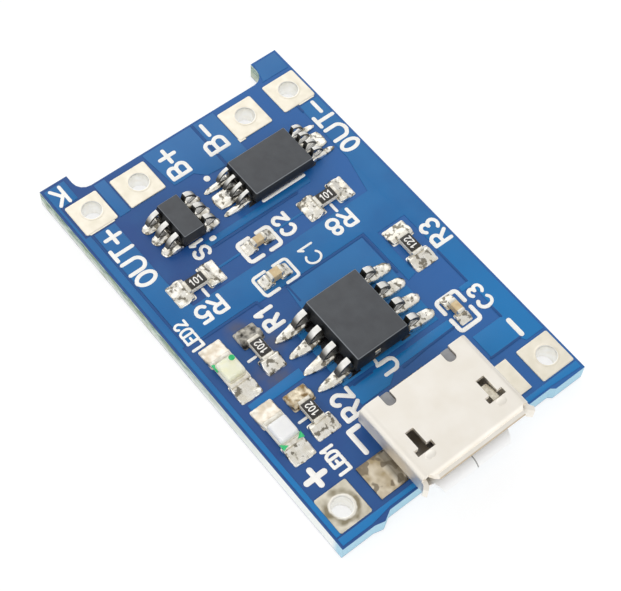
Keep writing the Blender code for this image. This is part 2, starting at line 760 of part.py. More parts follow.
def make_insulator(carrier, material):
    """The block that fills the back of the shell, with the tongue that a plug slides over."""
    section = rounded(shell_corners(SHEET + CLEARANCE), steps=4)
    front = BLOCK_REAR + BLOCK_LENGTH
    block = prism("block", section, BLOCK_REAR, front, "X")
    half = contact_offsets()[-1] + CONTACT_WIDTH / 2 + TONGUE_MARGIN
    height = (TONGUE_BOTTOM, TONGUE_BOTTOM + TONGUE_THICKNESS)
    tongue = box("tongue", (front - CONTACT_THICKNESS, TONGUE_TIP), (-half, half), height)
    insulator = piece("socket_insulator", united("socket_insulator", [block, tongue]), material, carrier)
    slot_half = CONTACT_WIDTH / 2 + CLEARANCE
    slot_height = (CONTACT_TOP - CONTACT_THICKNESS - CLEARANCE, CONTACT_TOP + CLEARANCE)
    slot_length = (BLOCK_REAR - BEYOND, CONTACT_TIP + CLEARANCE)
    for y in contact_offsets():
        slot = box("contact_slot", slot_length, (y - slot_half, y + slot_half), slot_height)
        cut(insulator, slot)


def socket_solder(name, outer_end):
    """The tinned land that one ear stands on, with the solder run up beside the ear."""
    half = SOCKET_LAND_LENGTH / 2
    wall = LUG_FACE + CLEARANCE
    length = half - CLEARANCE
    sections = [
        (LUG_FACE - SOCKET_LAND_UNDER, half, length, SOLDER_SKIN),
        (wall, half, length, SOLDER_SKIN),
        (wall + CLEARANCE, half, length, SOCKET_FILLET_HEIGHT),
    ]
    for way, height in FILLET:
        sections.append((wall + SOCKET_FILLET * way, half, length, SOCKET_FILLET_HEIGHT * height))
    sections.append((wall + SOCKET_FILLET, half, length, SOLDER_SKIN))
    sections.append((outer_end, half, length, SOLDER_SKIN))
    return solder(name, sections)


def make_socket():
    steel = finish("socket_steel", "E9E6DC", 0.3, 0.9)
    plastic = finish("socket_plastic", "3A3A3C", 0.5)
    gold = finish("contact_metal", "D9C78A", 0.3, 0.9)
    tin = finish("socket_tin", "F1EFE8", 0.25, 0.9)
    carrier = place_at("socket_place", (INPUT_END + SHELL_OVERHANG, 0))
    shell_mesh = united("socket_shell", [shell_tube(), lug(1), lug(-1)])
    shell = piece("socket_shell", shell_mesh, steel, carrier)
    slot_y = OUTER_HALF - SLOT_FROM_SIDE
    cut(shell, latch_slot("latch_slot_plus"), (0, slot_y, 0))
    cut(shell, latch_slot("latch_slot_minus"), (0, -slot_y, 0))
    cut(shell, rear_notches())
    cut(shell, tail_window())
    make_insulator(carrier, plastic)
    contact = contact_mesh()
    for number, y in enumerate(contact_offsets(), 1):
        piece(f"socket_contact_{number}", contact, gold, carrier, (0, y, 0))
    middle = -LUG_FROM_FRONT - LUG_LENGTH / 2
    plus_end = BOARD_WIDTH / 2 - PLUS_SIDE_INSET - PLUS_PAD_WIDTH - SOCKET_LAND_GAP
    minus_end = BOARD_WIDTH / 2 - MINUS_SIDE_INSET - MINUS_PAD_WIDTH - SOCKET_LAND_GAP
    plus_mesh = socket_solder("socket_solder_plus_side", plus_end)
    minus_mesh = socket_solder("socket_solder_minus_side", minus_end)
    piece("socket_solder_plus_side", plus_mesh, tin, carrier, (middle, 0, 0), -math.pi / 2)
    piece("socket_solder_minus_side", minus_mesh, tin, carrier, (middle, 0, 0), math.pi / 2)


def chip_body(name, length, width, shoulder, top):
    """A moulded body, widest where its leads come out."""
    rings = []
    for z, inset in ((CHIP_STANDOFF, CHIP_DRAFT), (shoulder, 0), (top, CHIP_DRAFT)):
        x = length / 2 - inset
        y = width / 2 - inset
        rings.append([(-x, -y, z), (x, -y, z), (x, y, z), (-x, y, z)])
    return loft(name, rings)


def lead_path(start, span, shoulder, foot, thickness):
    """The middle of a gull-wing lead (distance from the chip's centre line, height, bend)."""
    foot_z = METAL_BOTTOM + thickness / 2
    heel = span / 2 - foot
    bend = thickness * 0.7
    knee = heel - thickness * 0.7
    return [(start, shoulder, 0), (knee, shoulder, bend), (heel, foot_z, bend), (span / 2, foot_z, 0)]


def lead_solder(name, span, foot, land_width, land_reach):
    """The land under a lead's foot, with solder round the foot and a rounded outer end."""
    half = land_width / 2
    spread = half * SOLDER_SPREAD
    toe = span / 2
    heel = toe - foot
    tip = toe + land_reach
    nose = min(LEAD_LAND_NOSE, land_reach / 3)
    middle = (toe + tip - nose) / 2
    sections = [
        (heel - HEEL_LAND, half, spread, SOLDER_SKIN),
        (heel, half, spread, LEAD_SOLDER_HEIGHT),
        (toe, half, spread, LEAD_SOLDER_HEIGHT),
        (middle, half, spread, LEAD_SOLDER_HEIGHT / 2),
    ]
    for step in range(4):
        angle = step / 3 * NOSE_ANGLE
        inset = nose * (1 - math.cos(angle))
        narrowed = max(half - inset, half / 4)
        sections.append((tip - nose * (1 - math.sin(angle)), narrowed, narrowed * SOLDER_SPREAD, SOLDER_SKIN))
    return solder(name, sections)


def gull_wing(name, offsets, body_width, span, shoulder, foot, width, thickness, land_width, land_reach):
    """Leads side by side along Y that share one land, reaching out along X from the chip's centre line."""
    outline = strip(lead_path(body_width / 2 + CLEARANCE, span, shoulder, foot, thickness), thickness)
    shapes = [lead_solder(name + "_land", span, foot, land_width, land_reach)]
    for offset in offsets:
        shapes.append(prism(name, outline, offset - width / 2, offset + width / 2, "Y"))
    return united(name, shapes)


def make_charger_chip(place):
    body_finish = finish("charger_chip_mould", "55575A", 0.6)
    tin = finish("charger_chip_tin", "EDEDEA", 0.25, 0.9)
    carrier = place_at("charger_chip_place", place)
    mesh = chip_body("charger_chip_body", CHARGER_LENGTH, CHARGER_WIDTH, CHARGER_SHOULDER, CHARGER_TOP)
    piece("charger_chip_body", mesh, body_finish, carrier)
    lead = gull_wing(
        "charger_chip_lead",
        [0],
        CHARGER_WIDTH,
        CHARGER_SPAN,
        CHARGER_SHOULDER,
        CHARGER_FOOT,
        CHARGER_LEAD_WIDTH,
        CHARGER_LEAD_THICKNESS,
        CHARGER_LAND_WIDTH,
        CHARGER_LAND_REACH,
    )
    for k in range(8):
        row = 1 if k < 4 else -1
        x = (k % 4 - 1.5) * CHARGER_PITCH * row
        piece(f"charger_chip_lead_{k + 1}", lead, tin, carrier, (x, 0, 0), row * math.pi / 2)


def make_switch_chip(place):
    """Two transistors in one body. Its drain frame runs through the body, from side to side."""
    body_finish = finish("switch_chip_mould", "4F5154", 0.6)
    tin = finish("switch_chip_tin", "EDEDEA", 0.25, 0.9)
    carrier = place_at("switch_chip_place", place)
    mesh = chip_body("switch_chip_body", SWITCH_LENGTH, SWITCH_WIDTH, SWITCH_SHOULDER, SWITCH_TOP)
    body = piece("switch_chip_body", mesh, body_finish, carrier)
    sizes = (SWITCH_SPAN, SWITCH_SHOULDER, SWITCH_FOOT, SWITCH_LEAD_WIDTH, SWITCH_LEAD_THICKNESS)
    single = gull_wing("gate", [0], SWITCH_WIDTH, *sizes, SWITCH_LAND_WIDTH, SWITCH_LAND_REACH)
    pair = (-SWITCH_PITCH / 2, SWITCH_PITCH / 2)
    pair_width = SWITCH_PITCH + SWITCH_LAND_WIDTH
    double = gull_wing("source", pair, SWITCH_WIDTH, *sizes, pair_width, SWITCH_LAND_REACH)
    drain_x = -1.5 * SWITCH_PITCH
    gate_x = 1.5 * SWITCH_PITCH
    for number, row in ((1, 1), (2, -1)):
        piece(f"switch_chip_source_{number}", double, tin, carrier, (0, 0, 0), row * math.pi / 2)
        piece(f"switch_chip_gate_{number}", single, tin, carrier, (gate_x, 0, 0), row * math.pi / 2)
    half = lead_path(0, SWITCH_SPAN, SWITCH_SHOULDER, SWITCH_FOOT, SWITCH_LEAD_THICKNESS)[1:]
    whole = [(-x, z, bend) for x, z, bend in reversed(half)] + half
    outline = strip(whole, SWITCH_LEAD_THICKNESS)
    frame = prism("drain", outline, -SWITCH_LEAD_WIDTH / 2, SWITCH_LEAD_WIDTH / 2, "Y")
    land = lead_solder("drain_land", SWITCH_SPAN, SWITCH_FOOT, SWITCH_LAND_WIDTH, SWITCH_LAND_REACH)
    frame = united("switch_chip_drain_frame", [frame, land, mirrored(land)])
    piece("switch_chip_drain_frame", frame, tin, carrier, (drain_x, 0, 0), math.pi / 2)
    tunnel_half = SWITCH_LEAD_WIDTH / 2 + CLEARANCE
    tunnel_rise = SWITCH_LEAD_THICKNESS / 2 + CLEARANCE
    tunnel = box(
        "drain_tunnel",
        (drain_x - tunnel_half, drain_x + tunnel_half),
        (-SWITCH_WIDTH, SWITCH_WIDTH),
        (SWITCH_SHOULDER - tunnel_rise, SWITCH_SHOULDER + tunnel_rise),
    )
    cut(body, tunnel)


def make_protection_chip(place):
    body_finish = finish("protection_chip_mould", "54565A", 0.6)
    tin = finish("protection_chip_tin", "EDEDEA", 0.25, 0.9)
    carrier = place_at("protection_chip_place", place)
    name = "protection_chip_body"
    mesh = chip_body(name, PROTECTION_LENGTH, PROTECTION_WIDTH, PROTECTION_SHOULDER, PROTECTION_TOP)
    piece(name, mesh, body_finish, carrier)
    lead = gull_wing(
        "protection_chip_lead",
        [0],
        PROTECTION_WIDTH,
        PROTECTION_SPAN,
        PROTECTION_SHOULDER,
        PROTECTION_FOOT,
        PROTECTION_LEAD_WIDTH,
        PROTECTION_LEAD_THICKNESS,
        PROTECTION_LAND_WIDTH,
        PROTECTION_LAND_REACH,
    )
    for k in range(6):
        row = 1 if k < 3 else -1
        x = (k % 3 - 1) * PROTECTION_PITCH * row
        piece(f"protection_chip_lead_{k + 1}", lead, tin, carrier, (x, 0, 0), row * math.pi / 2)


def end_solder(name, metal_end, wall, metal_half, land_end, land_half, height, inner):
    """The land at one end of a small part, with solder that falls away from its metal end."""
    reach = land_end - metal_end
    start = metal_end - wall / 2
    spread = metal_half * SOLDER_SPREAD
    widest = land_half * SOLDER_SPREAD
    nose = land_half - LAND_ROUNDING
    sections = [
        (inner, nose, spread, SOLDER_SKIN),
        (inner + LAND_ROUNDING, land_half, spread, SOLDER_SKIN),
        (start - wall / 4, land_half, spread, SOLDER_SKIN),
        (start, land_half, spread, height),
    ]
    for way, share in FILLET:
        sections.append((metal_end + reach * way, land_half, spread + (widest - spread) * way, height * share))
    sections.append((land_end - LAND_ROUNDING, land_half, widest, SOLDER_SKIN))
    sections.append((land_end, nose, nose * SOLDER_SPREAD, SOLDER_SKIN))
    return solder(name, sections)


def resistor_end():
    """A metal end that wraps round the top, end and bottom of a resistor, with its land and solder."""
    end = RESISTOR_LENGTH / 2
    inner = end - RESISTOR_CAP
    low = METAL_BOTTOM
    high = METAL_BOTTOM + RESISTOR_HEIGHT
    wall = RESISTOR_CAP_WALL
    outline = [
        (inner, low),
        (end, low),
        (end, high),
        (inner, high),
        (inner, high - wall),
        (end - wall, high - wall),
        (end - wall, low + wall),
        (inner, low + wall),
    ]
    half = RESISTOR_WIDTH / 2
    cap = prism("resistor_cap", outline, -half, half, "Y")
    land = end_solder(
        "resistor_land",
        end,
        wall,
        half,
        RESISTOR_LAND_SPAN / 2,
        RESISTOR_LAND_WIDTH / 2,
        RESISTOR_SOLDER_HEIGHT,
        inner,
    )
    return united("resistor_end", [cap, land])


def make_resistors(places):
    ceramic = finish("resistor_ceramic", "2E2C2B", 0.45)
    tin = finish("resistor_tin", "EFEEE9", 0.25, 0.9)
    gap = RESISTOR_CAP_WALL + CLEARANCE
    half_length = RESISTOR_LENGTH / 2 - gap
    half_width = RESISTOR_WIDTH / 2
    height = (METAL_BOTTOM + gap, METAL_BOTTOM + RESISTOR_HEIGHT - gap)
    body = box("resistor_body", (-half_length, half_length), (-half_width, half_width), height)
    end = resistor_end()
    for number, turn in ((1, 0), (2, 0), (3, 0), (5, math.pi / 2), (6, math.pi / 2)):
        name = f"resistor_{number}"
        carrier = place_at(name + "_place", places[name], turn)
        piece(name + "_body", body, ceramic, carrier)
        piece(name + "_end_a", end, tin, carrier)
        piece(name + "_end_b", end, tin, carrier, turn=math.pi)


def capacitor_mesh(name, width):
    """A ceramic block with two metal ends and their solder. Its height equals its width."""
    end = CAPACITOR_LENGTH / 2
    wall = CAPACITOR_CAP_WALL
    half = width / 2
    low = METAL_BOTTOM
    high = METAL_BOTTOM + width
    shapes = [box(name, (-end + wall, end - wall), (-half + wall, half - wall), (low + wall, high - wall))]
    cap = box("capacitor_cap", (end - CAPACITOR_CAP, end), (-half, half), (low, high))
    land = end_solder(
        "capacitor_land",
        end,
        CAPACITOR_CAP / 2,
        half,
        CAPACITOR_LAND_SPAN / 2,
        CAPACITOR_LAND_WIDTH / 2,
        width * 0.6,
        end - CAPACITOR_CAP,
    )
    shapes += [cap, land, mirrored(cap), mirrored(land)]
    return united(name, shapes)


def make_capacitors(places):
    ceramic = finish("capacitor_ceramic", "C8A878", 0.4)
    large = capacitor_mesh("input_capacitor", INPUT_CAPACITOR_WIDTH)
    small = capacitor_mesh("small_capacitor", SMALL_CAPACITOR_WIDTH)
    for number, mesh, turn in ((1, large, math.pi / 2), (2, small, math.pi / 2), (3, small, 0)):
        name = f"capacitor_{number}"
        piece(name, mesh, ceramic, at=(*places[name], SEAT), turn=turn)


def lamp_base_mesh():
    """A lamp's white base with its metal ends and solder."""
    end = LAMP_LENGTH / 2
    half = LAMP_WIDTH / 2
    base = box("lamp_base", (-end, end), (-half, half), (METAL_BOTTOM, METAL_BOTTOM + LAMP_BASE_HEIGHT))
    inner = LENS_LENGTH / 2
    land = end_solder(
        "lamp_land",
        end,
        (end - inner) / 2,
        half,
        LAMP_LAND_SPAN / 2,
        LAMP_LAND_WIDTH / 2,
        LAMP_SOLDER_HEIGHT,
        inner,
    )
    return united("lamp_base", [base, land, mirrored(land)])


def make_lamps(places):
    white = finish("lamp_base_white", "EDE8D8", 0.4)
    clear = finish("lamp_lens", "F3EFDC", 0.3)
    base = lamp_base_mesh()
    low = METAL_BOTTOM + LAMP_BASE_HEIGHT + CLEARANCE
    rings = []
    for z, inset in ((low, 0), (LAMP_TOP, LENS_DRAFT)):
        x = LENS_LENGTH / 2 - inset
        y = LAMP_WIDTH / 2 - inset
        rings.append([(-x, -y, z), (x, -y, z), (x, y, z), (-x, y, z)])
    lens = loft("lamp_lens", rings)
    for name in ("led_1", "led_2"):
        carrier = place_at(name + "_place", places[name])
        piece(name + "_base", base, white, carrier)
        piece(name + "_lens", lens, clear, carrier)


def main():
    for obj in list(bpy.data.objects):
        bpy.data.objects.remove(obj)
    places = layout()
    make_board_and_pads()
    make_socket()
    make_charger_chip(places["charger_chip"])
    make_switch_chip(places["switch_chip"])
    make_protection_chip(places["protection_chip"])
    make_resistors(places)
    make_capacitors(places)
    make_lamps(places)


main()
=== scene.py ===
"""Looks of the lithium battery charger module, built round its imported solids.

Pieces are modelled in millimetres, in the part's own frame, and brought to metres when they are finished.
"""

import math

import bmesh
import bpy
from mathutils import Matrix, Vector


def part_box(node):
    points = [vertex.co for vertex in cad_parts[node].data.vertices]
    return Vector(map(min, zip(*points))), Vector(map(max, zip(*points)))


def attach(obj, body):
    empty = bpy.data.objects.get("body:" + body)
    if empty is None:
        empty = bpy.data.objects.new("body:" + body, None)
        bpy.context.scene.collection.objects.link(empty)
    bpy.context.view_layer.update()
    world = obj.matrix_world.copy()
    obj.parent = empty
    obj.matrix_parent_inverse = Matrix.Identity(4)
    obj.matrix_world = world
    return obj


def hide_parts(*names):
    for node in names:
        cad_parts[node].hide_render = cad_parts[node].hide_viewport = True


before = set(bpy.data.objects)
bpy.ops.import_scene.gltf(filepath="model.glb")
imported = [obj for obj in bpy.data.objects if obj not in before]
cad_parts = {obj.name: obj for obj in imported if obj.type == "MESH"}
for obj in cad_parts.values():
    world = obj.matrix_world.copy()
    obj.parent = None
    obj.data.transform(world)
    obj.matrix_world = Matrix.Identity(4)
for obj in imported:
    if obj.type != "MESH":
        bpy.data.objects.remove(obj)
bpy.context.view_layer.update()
bpy.context.scene.view_settings.view_transform = "Standard"

MM = 0.001
# A direction this near to the upright axis counts as upright
UPRIGHT = 0.9
# How far flat pieces reach into the board, so that no gap shows under them
SUNK = 0.02


def corners(node):
    """A solid's lowest and highest corner, in millimetres."""
    low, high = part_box(node)
    return low / MM, high / MM


def middle(node):
    low, high = corners(node)
    return (low + high) / 2


BOARD_TOP = corners("circuit_board")[1].z
SEAT = corners("charger_chip_lead_1")[0].z


# Modelling tools


def clear():
    """Leaves edit mode with nothing selected."""
    if bpy.context.object and bpy.context.object.mode != "OBJECT":
        bpy.ops.object.mode_set(mode="OBJECT")
    bpy.ops.object.select_all(action="DESELECT")


def take(piece):
    """Selects one piece alone."""
    clear()
    piece.select_set(True)
    bpy.context.view_layer.objects.active = piece


def bake(piece):
    """Puts a piece's place, turn and scale into its mesh."""
    take(piece)
    bpy.ops.object.transform_apply(location=True, rotation=True, scale=True)
    return piece


def named(name):
    """The piece just made, under its name."""
    piece = bpy.context.object
    piece.name = name
    return bake(piece)


def block(name, low, high):
    clear()
    low = Vector(low)
    high = Vector(high)
    bpy.ops.mesh.primitive_cube_add(size=1, location=(low + high) / 2, scale=high - low)
    return named(name)


def slab(name, half_x, half_y, low, high):
    """A block round the origin, seen from above."""
    return block(name, (-half_x, -half_y, low), (half_x, half_y, high))


def pick(piece, kind, test=lambda part: True):
    """In edit mode, selects the faces, edges or corners that pass the test."""
    take(piece)
    bpy.ops.object.mode_set(mode="EDIT")
    bpy.ops.mesh.select_mode(type=kind)
    bpy.ops.mesh.select_all(action="DESELECT")
    shape = bmesh.from_edit_mesh(piece.data)
    parts = {"FACE": shape.faces, "EDGE": shape.edges, "VERT": shape.verts}[kind]
    for part in parts:
        if test(part):
            part.select_set(True)
    bmesh.update_edit_mesh(piece.data)


def apply(piece, kind, **settings):
    take(piece)
    modifier = piece.modifiers.new(kind.lower(), kind)
    for name, value in settings.items():
        setattr(modifier, name, value)
    bpy.ops.object.modifier_apply(modifier=modifier.name)
    return piece


def cut(piece, tool, way="DIFFERENCE"):
    apply(piece, "BOOLEAN", object=tool, operation=way, solver="EXACT")
    bpy.data.objects.remove(tool)


def smooth(piece, angle=40):
    take(piece)
    bpy.ops.object.shade_smooth_by_angle(angle=math.radians(angle))
    return piece


def soften(piece, width, steps=2, angle=30):
    """Rounds the edges that are sharper than the angle."""
    limit = math.radians(angle)
    apply(piece, "BEVEL", width=width, segments=steps, limit_method="ANGLE", angle_limit=limit, harden_normals=False)
    return smooth(piece)


def round_corners(piece, radius, steps):
    """Rounds the upright edges of a block."""
    pick(piece, "EDGE", lambda edge: abs((edge.verts[0].co - edge.verts[1].co).normalized().z) > UPRIGHT)
    bpy.ops.mesh.bevel(offset=radius, segments=steps, affect="EDGES")


def flatten(piece):
    """Keeps flat faces flat to the light, so that only the rounded edges catch it."""
    return apply(piece, "WEIGHTED_NORMAL", keep_sharp=True)


def join(name, pieces):
    clear()
    for piece in pieces:
        piece.select_set(True)
    bpy.context.view_layer.objects.active = pieces[0]
    bpy.ops.object.join()
    pieces[0].name = name
    return pieces[0]


def settle(piece, name, place, turn=0):
    """Turns a piece made at the origin about the upright axis, and sets it in its place under its own name."""
    piece.matrix_world = Matrix.Translation(place) @ Matrix.Rotation(turn, 4, "Z")
    piece.name = name
    return bake(piece)


def another(piece, name, place, turn=0):
    """A copy with its own mesh, turned and set in its place."""
    take(piece)
    bpy.ops.object.duplicate(linked=False)
    return settle(bpy.context.object, name, place, turn)


def made_mesh(name, data, place, size=(1, 1, 1)):
    """A curve turned into a closed mesh, with its place in the mesh."""
    piece = bpy.data.objects.new(name, data)
    bpy.context.scene.collection.objects.link(piece)
    take(piece)
    bpy.ops.object.convert(target="MESH")
    piece = bpy.context.object
    piece.location = place
    piece.scale = size
    pick(bake(piece), "FACE")
    bpy.ops.mesh.remove_doubles(threshold=0.0005)
    bpy.ops.mesh.normals_make_consistent(inside=False)
    clear()
    return piece


def drawn(name, loops, low, high, soft):
    """A flat plate drawn as closed outlines seen from above, with its rims rounded; an inner loop is a hole."""
    data = bpy.data.curves.new(name, "CURVE")
    data.dimensions = "2D"
    data.fill_mode = "BOTH"
    data.extrude = (high - low) / 2 - soft
    data.bevel_depth = soft
    data.offset = -soft
    data.bevel_resolution = 1
    for loop in loops:
        line = data.splines.new("POLY")
        line.points.add(len(loop) - 1)
        for point, (x, y) in zip(line.points, loop):
            point.co = (x, y, 0, 1)
        line.use_cyclic_u = True
    return made_mesh(name, data, (0, 0, (low + high) / 2))


def coat(piece, coating):
    piece.data.materials.clear()
    piece.data.materials.append(coating)
    return piece


def set_down(piece, coating, slot, *nodes):
    """Brings a piece to metres, gives it its finish, and hides the solids that it stands for.

    A piece joined from coated shapes keeps their finishes, with None here. The slot is not used.
    """
    piece.scale = (MM, MM, MM)
    bake(piece)
    if coating:
        coat(piece, coating)
    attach(piece, "root")
    if nodes:
        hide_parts(*nodes)


# Finishes


def linear(code):
    """An sRGB hex colour as linear red, green, blue and one."""
    parts = [int(code[k : k + 2], 16) / 255 for k in (0, 2, 4)]
    return (*[p / 12.92 if p <= 0.04045 else ((p + 0.055) / 1.055) ** 2.4 for p in parts], 1)


# Soft noise is spread over these ranges round its middle
TONE_RANGE = (0.35, 0.65)
WEAR_RANGE = (0.3, 0.7)
# A wave texture has 20 bands in the distance that a full turn stands for
WAVE_TURN = math.tau / 20


def per_mm(size):
    """The scale of a pattern whose repeat is so many millimetres, on coordinates in metres."""
    return 1 / (size * MM)


def feed(socket, value):
    """Puts a number, a hex colour or another node's output into a socket."""
    if isinstance(value, bpy.types.NodeSocket):
        socket.id_data.links.new(value, socket)
    else:
        socket.default_value = linear(value) if isinstance(value, str) else value


def add(tree, kind, inputs=(), **settings):
    """Adds a node with its settings and what goes into it, by socket or in order, and returns its outputs."""
    node = tree.nodes.new("ShaderNode" + kind)
    for name, value in settings.items():
        setattr(node, name, value)
    for name, value in inputs.items() if isinstance(inputs, dict) else enumerate(inputs):
        feed(node.inputs[name], value)
    return node.outputs


def tinted(tree, colour, *coats):
    """A colour with tones laid over it in turn.

    Each coat is a value, the range over which it comes in, its share at both ends of that range, and its tone.
    """
    for value, low, high, start, end, tone in coats:
        share = add(tree, "MapRange", (value, low, high, start, end))[0]
        colour = add(tree, "Mix", {0: share, 6: colour, 7: tone}, data_type="RGBA")[2]
    return colour


def finish(name, tones, patch, rough, grain, relief, metallic=0.0, ior=1.5):
    """A surface with two tones in patches, its roughness range, and a grain of so many millimetres in relief.

    Returns the material, its tree, the shader's inputs, and the outputs that further nodes build on.
    """
    made = bpy.data.materials.new(name)
    made.use_nodes = True
    tree = made.node_tree
    shader = tree.nodes["Principled BSDF"].inputs
    where = add(tree, "TexCoord")["Object"]
    patches = add(tree, "TexNoise", {"Vector": where, "Scale": per_mm(patch)})[0]
    wear = add(tree, "TexNoise", {"Vector": where, "Scale": per_mm(patch * 0.6)})[0]
    height = add(tree, "TexNoise", {"Vector": where, "Scale": per_mm(grain), "Detail": 3.0})[0]
    parts = {
        "Base Color": tinted(tree, tones[0], (patches, *TONE_RANGE, 0, 1, tones[1])),
        "Roughness": add(tree, "MapRange", (wear, *WEAR_RANGE, *rough))[0],
        "Normal": add(tree, "Bump", {"Height": height, "Strength": 1.0, "Distance": relief * MM})[0],
        "Metallic": metallic,
        "IOR": ior,
    }
    for socket, value in parts.items():
        feed(shader[socket], value)
    return made, tree, shader, {**parts, "where": where}


def metal(name, tones, patch, rough, grain, relief):
    return finish(name, tones, patch, rough, grain, relief, metallic=1.0)


def masked(name, tones, glare):
    """Liquid solder mask, screened on and cured: a glossy dyed epoxy skin, faintly wavy over the glass weave."""
    made, tree, shader, parts = finish(name, tones, 2.2, glare, 0.35, 0.0015, ior=1.45)
    # The cloth under the mask shows as a faint square ripple. Its threads are drawn 0.89 mm apart, which is
    # coarser than real cloth, so that they show
    threads = {"Vector": parts["where"], "Scale": per_mm(0.8878) * WAVE_TURN}
    weave, weft = (add(tree, "TexWave", threads, bands_direction=way)["Fac"] for way in "XY")
    cloth = add(tree, "Math", (weave, weft), operation="ADD")[0]
    ripple = {"Height": cloth, "Strength": 1.0, "Distance": 0.0008 * MM, "Normal": parts["Normal"]}
    parts["Normal"] = add(tree, "Bump", ripple)[0]
    feed(shader["Normal"], parts["Normal"])
    return made, tree, shader, parts


# Mask over bare laminate reads a little violet and dull, as light sinks in and comes back through the resin
MASK_BARE, tree, shader, parts = masked("blue_mask_over_laminate", ("1C4889", "1F5290"), (0.28, 0.38))
where = parts["where"]
spot = add(tree, "SeparateXYZ", (where,))
# The board's cut sides: glass cloth and resin, sawn and snapped, so pale, dry and rough with thin layers
flat = add(tree, "Mapping", {"Vector": where, "Scale": (0.25, 0.25, 1.6)})[0]
layers = add(tree, "TexNoise", {"Vector": flat, "Scale": per_mm(0.16)})[0]
laminate = tinted(
    tree,
    "5A7868",
    (layers, 0.38, 0.62, 0, 1, "C2D3C7"),
    (add(tree, "TexNoise", {"Vector": where, "Scale": per_mm(0.12), "Detail": 3.0})[0], 0.55, 0.66, 0, 0.75, "5F7F76"),
    # Painted light: the lower half of the sawn side is painted near white
    (spot["Z"], 0.75 * MM, 0.25 * MM, 0, 0.8, "F2F5F0"),
    (add(tree, "TexNoise", {"Vector": where, "Scale": per_mm(0.7)})[0], 0.5, 0.62, 0, 0.45, "98A67C"),
    # Towards the socket the sawn side turns nearly white
    (spot["X"], -1 * MM, 8 * MM, 0, 0.9, "FCFFFD"),
    # Painted highlight: the socket end of the board is painted pale blue
    (spot["X"], 13.2 * MM, 13.6 * MM, 0, 0.85, "A2D3E9"),
)
above = add(tree, "MapRange", (spot["Z"], (BOARD_TOP - 0.045) * MM, (BOARD_TOP - 0.02) * MM))[0]
under = add(tree, "MapRange", (spot["Z"], 0.045 * MM, 0.02 * MM))[0]
skin = add(tree, "Math", (above, under), operation="MAXIMUM")[0]
# Towards the minus side a copper sheet on the board's far face sends light back through the glass cloth
skin_colour = tinted(tree, parts["Base Color"], (spot["Y"], -6 * MM, 5 * MM, 0, 1, "1F5FA3"))
# Where a worker's iron went over resistor 1, burnt flux left a brown haze on the mask beside it
haze = 0.0
for x, y, reach in ((3.8, -5.3, 1.3), (0.5, -5.2, 1.0), (2.2, -4.05, 0.9)):
    centre = (x * MM, y * MM, BOARD_TOP * MM)
    far = add(tree, "VectorMath", (where, centre), operation="DISTANCE")["Value"]
    near = add(tree, "MapRange", (far, reach * MM, 0.35 * reach * MM, 0, 0.68))[0]
    haze = add(tree, "Math", (haze, near), operation="MAXIMUM")[0]
clouds = add(tree, "TexNoise", {"Vector": where, "Scale": per_mm(0.8)})[0]
clouds = add(tree, "MapRange", (clouds, *TONE_RANGE, 0.3, 1.0))[0]
haze = add(tree, "Math", (haze, clouds), operation="MULTIPLY")[0]
board = add(tree, "Mix", {0: skin, 6: laminate, 7: skin_colour}, data_type="RGBA")[2]
feed(shader["Base Color"], tinted(tree, board, (haze, 0, 1, 0, 1, "5A5760")))
feed(shader["Roughness"], add(tree, "Mix", {0: skin, 2: 0.75, 3: parts["Roughness"]}, data_type="FLOAT")[0])
cut_side = add(tree, "MapRange", (skin, 0, 1, 1, 0))[0]
rags = add(tree, "Math", (layers, cut_side), operation="MULTIPLY")[0]
broken = {"Height": rags, "Strength": 1.0, "Distance": 0.03 * MM, "Normal": parts["Normal"]}
feed(shader["Normal"], add(tree, "Bump", broken)[0])

# Mask in the narrow gaps that part the copper sheets lies lower and reads darker
MASK_GAP = masked("blue_mask_in_a_gap", ("0A4886", "0C4E8D"), (0.3, 0.4))[0]

# Mask over copper is brighter and greener, because the metal sends the light back.
# It runs out thinner at the socket end
MASK_COPPER, tree, shader, parts = masked("blue_mask_over_copper", ("1064A2", "136BA9"), (0.28, 0.38))
spot = add(tree, "SeparateXYZ", (parts["where"],))
feed(shader["Base Color"], tinted(tree, parts["Base Color"], (spot["X"], 1 * MM, 8 * MM, 0, 0.8, "127ABC")))
# Towards the output end the copper is thin and its borders hardly show
MASK_THIN = masked("blue_mask_over_thin_copper", ("2669A6", "2A6EAB"), (0.28, 0.38))[0]

# Printed legend: white epoxy ink, thick and slightly chalky, so it stays matt and a little uneven
INK = finish("white_legend_ink", ("FFFDF8", "F7F5EF"), 0.5, (0.5, 0.65), 0.06, 0.004)[0]

# Hot-air levelled tin on the wire pads: a pale warm metal that set in a soft swell, dull where it cooled
PAD_TIN = metal("levelled_tin", ("F9F2E2", "F1EAD8"), 0.7, (0.36, 0.5), 0.3, 0.004)[0]

# The plated hole walls are the same tin, frosted, so that light from below fills them
HOLE_TIN = metal("frosted_hole_tin", ("FFFFFC", "FBF9F2"), 0.4, (0.35, 0.5), 0.2, 0.006)[0]

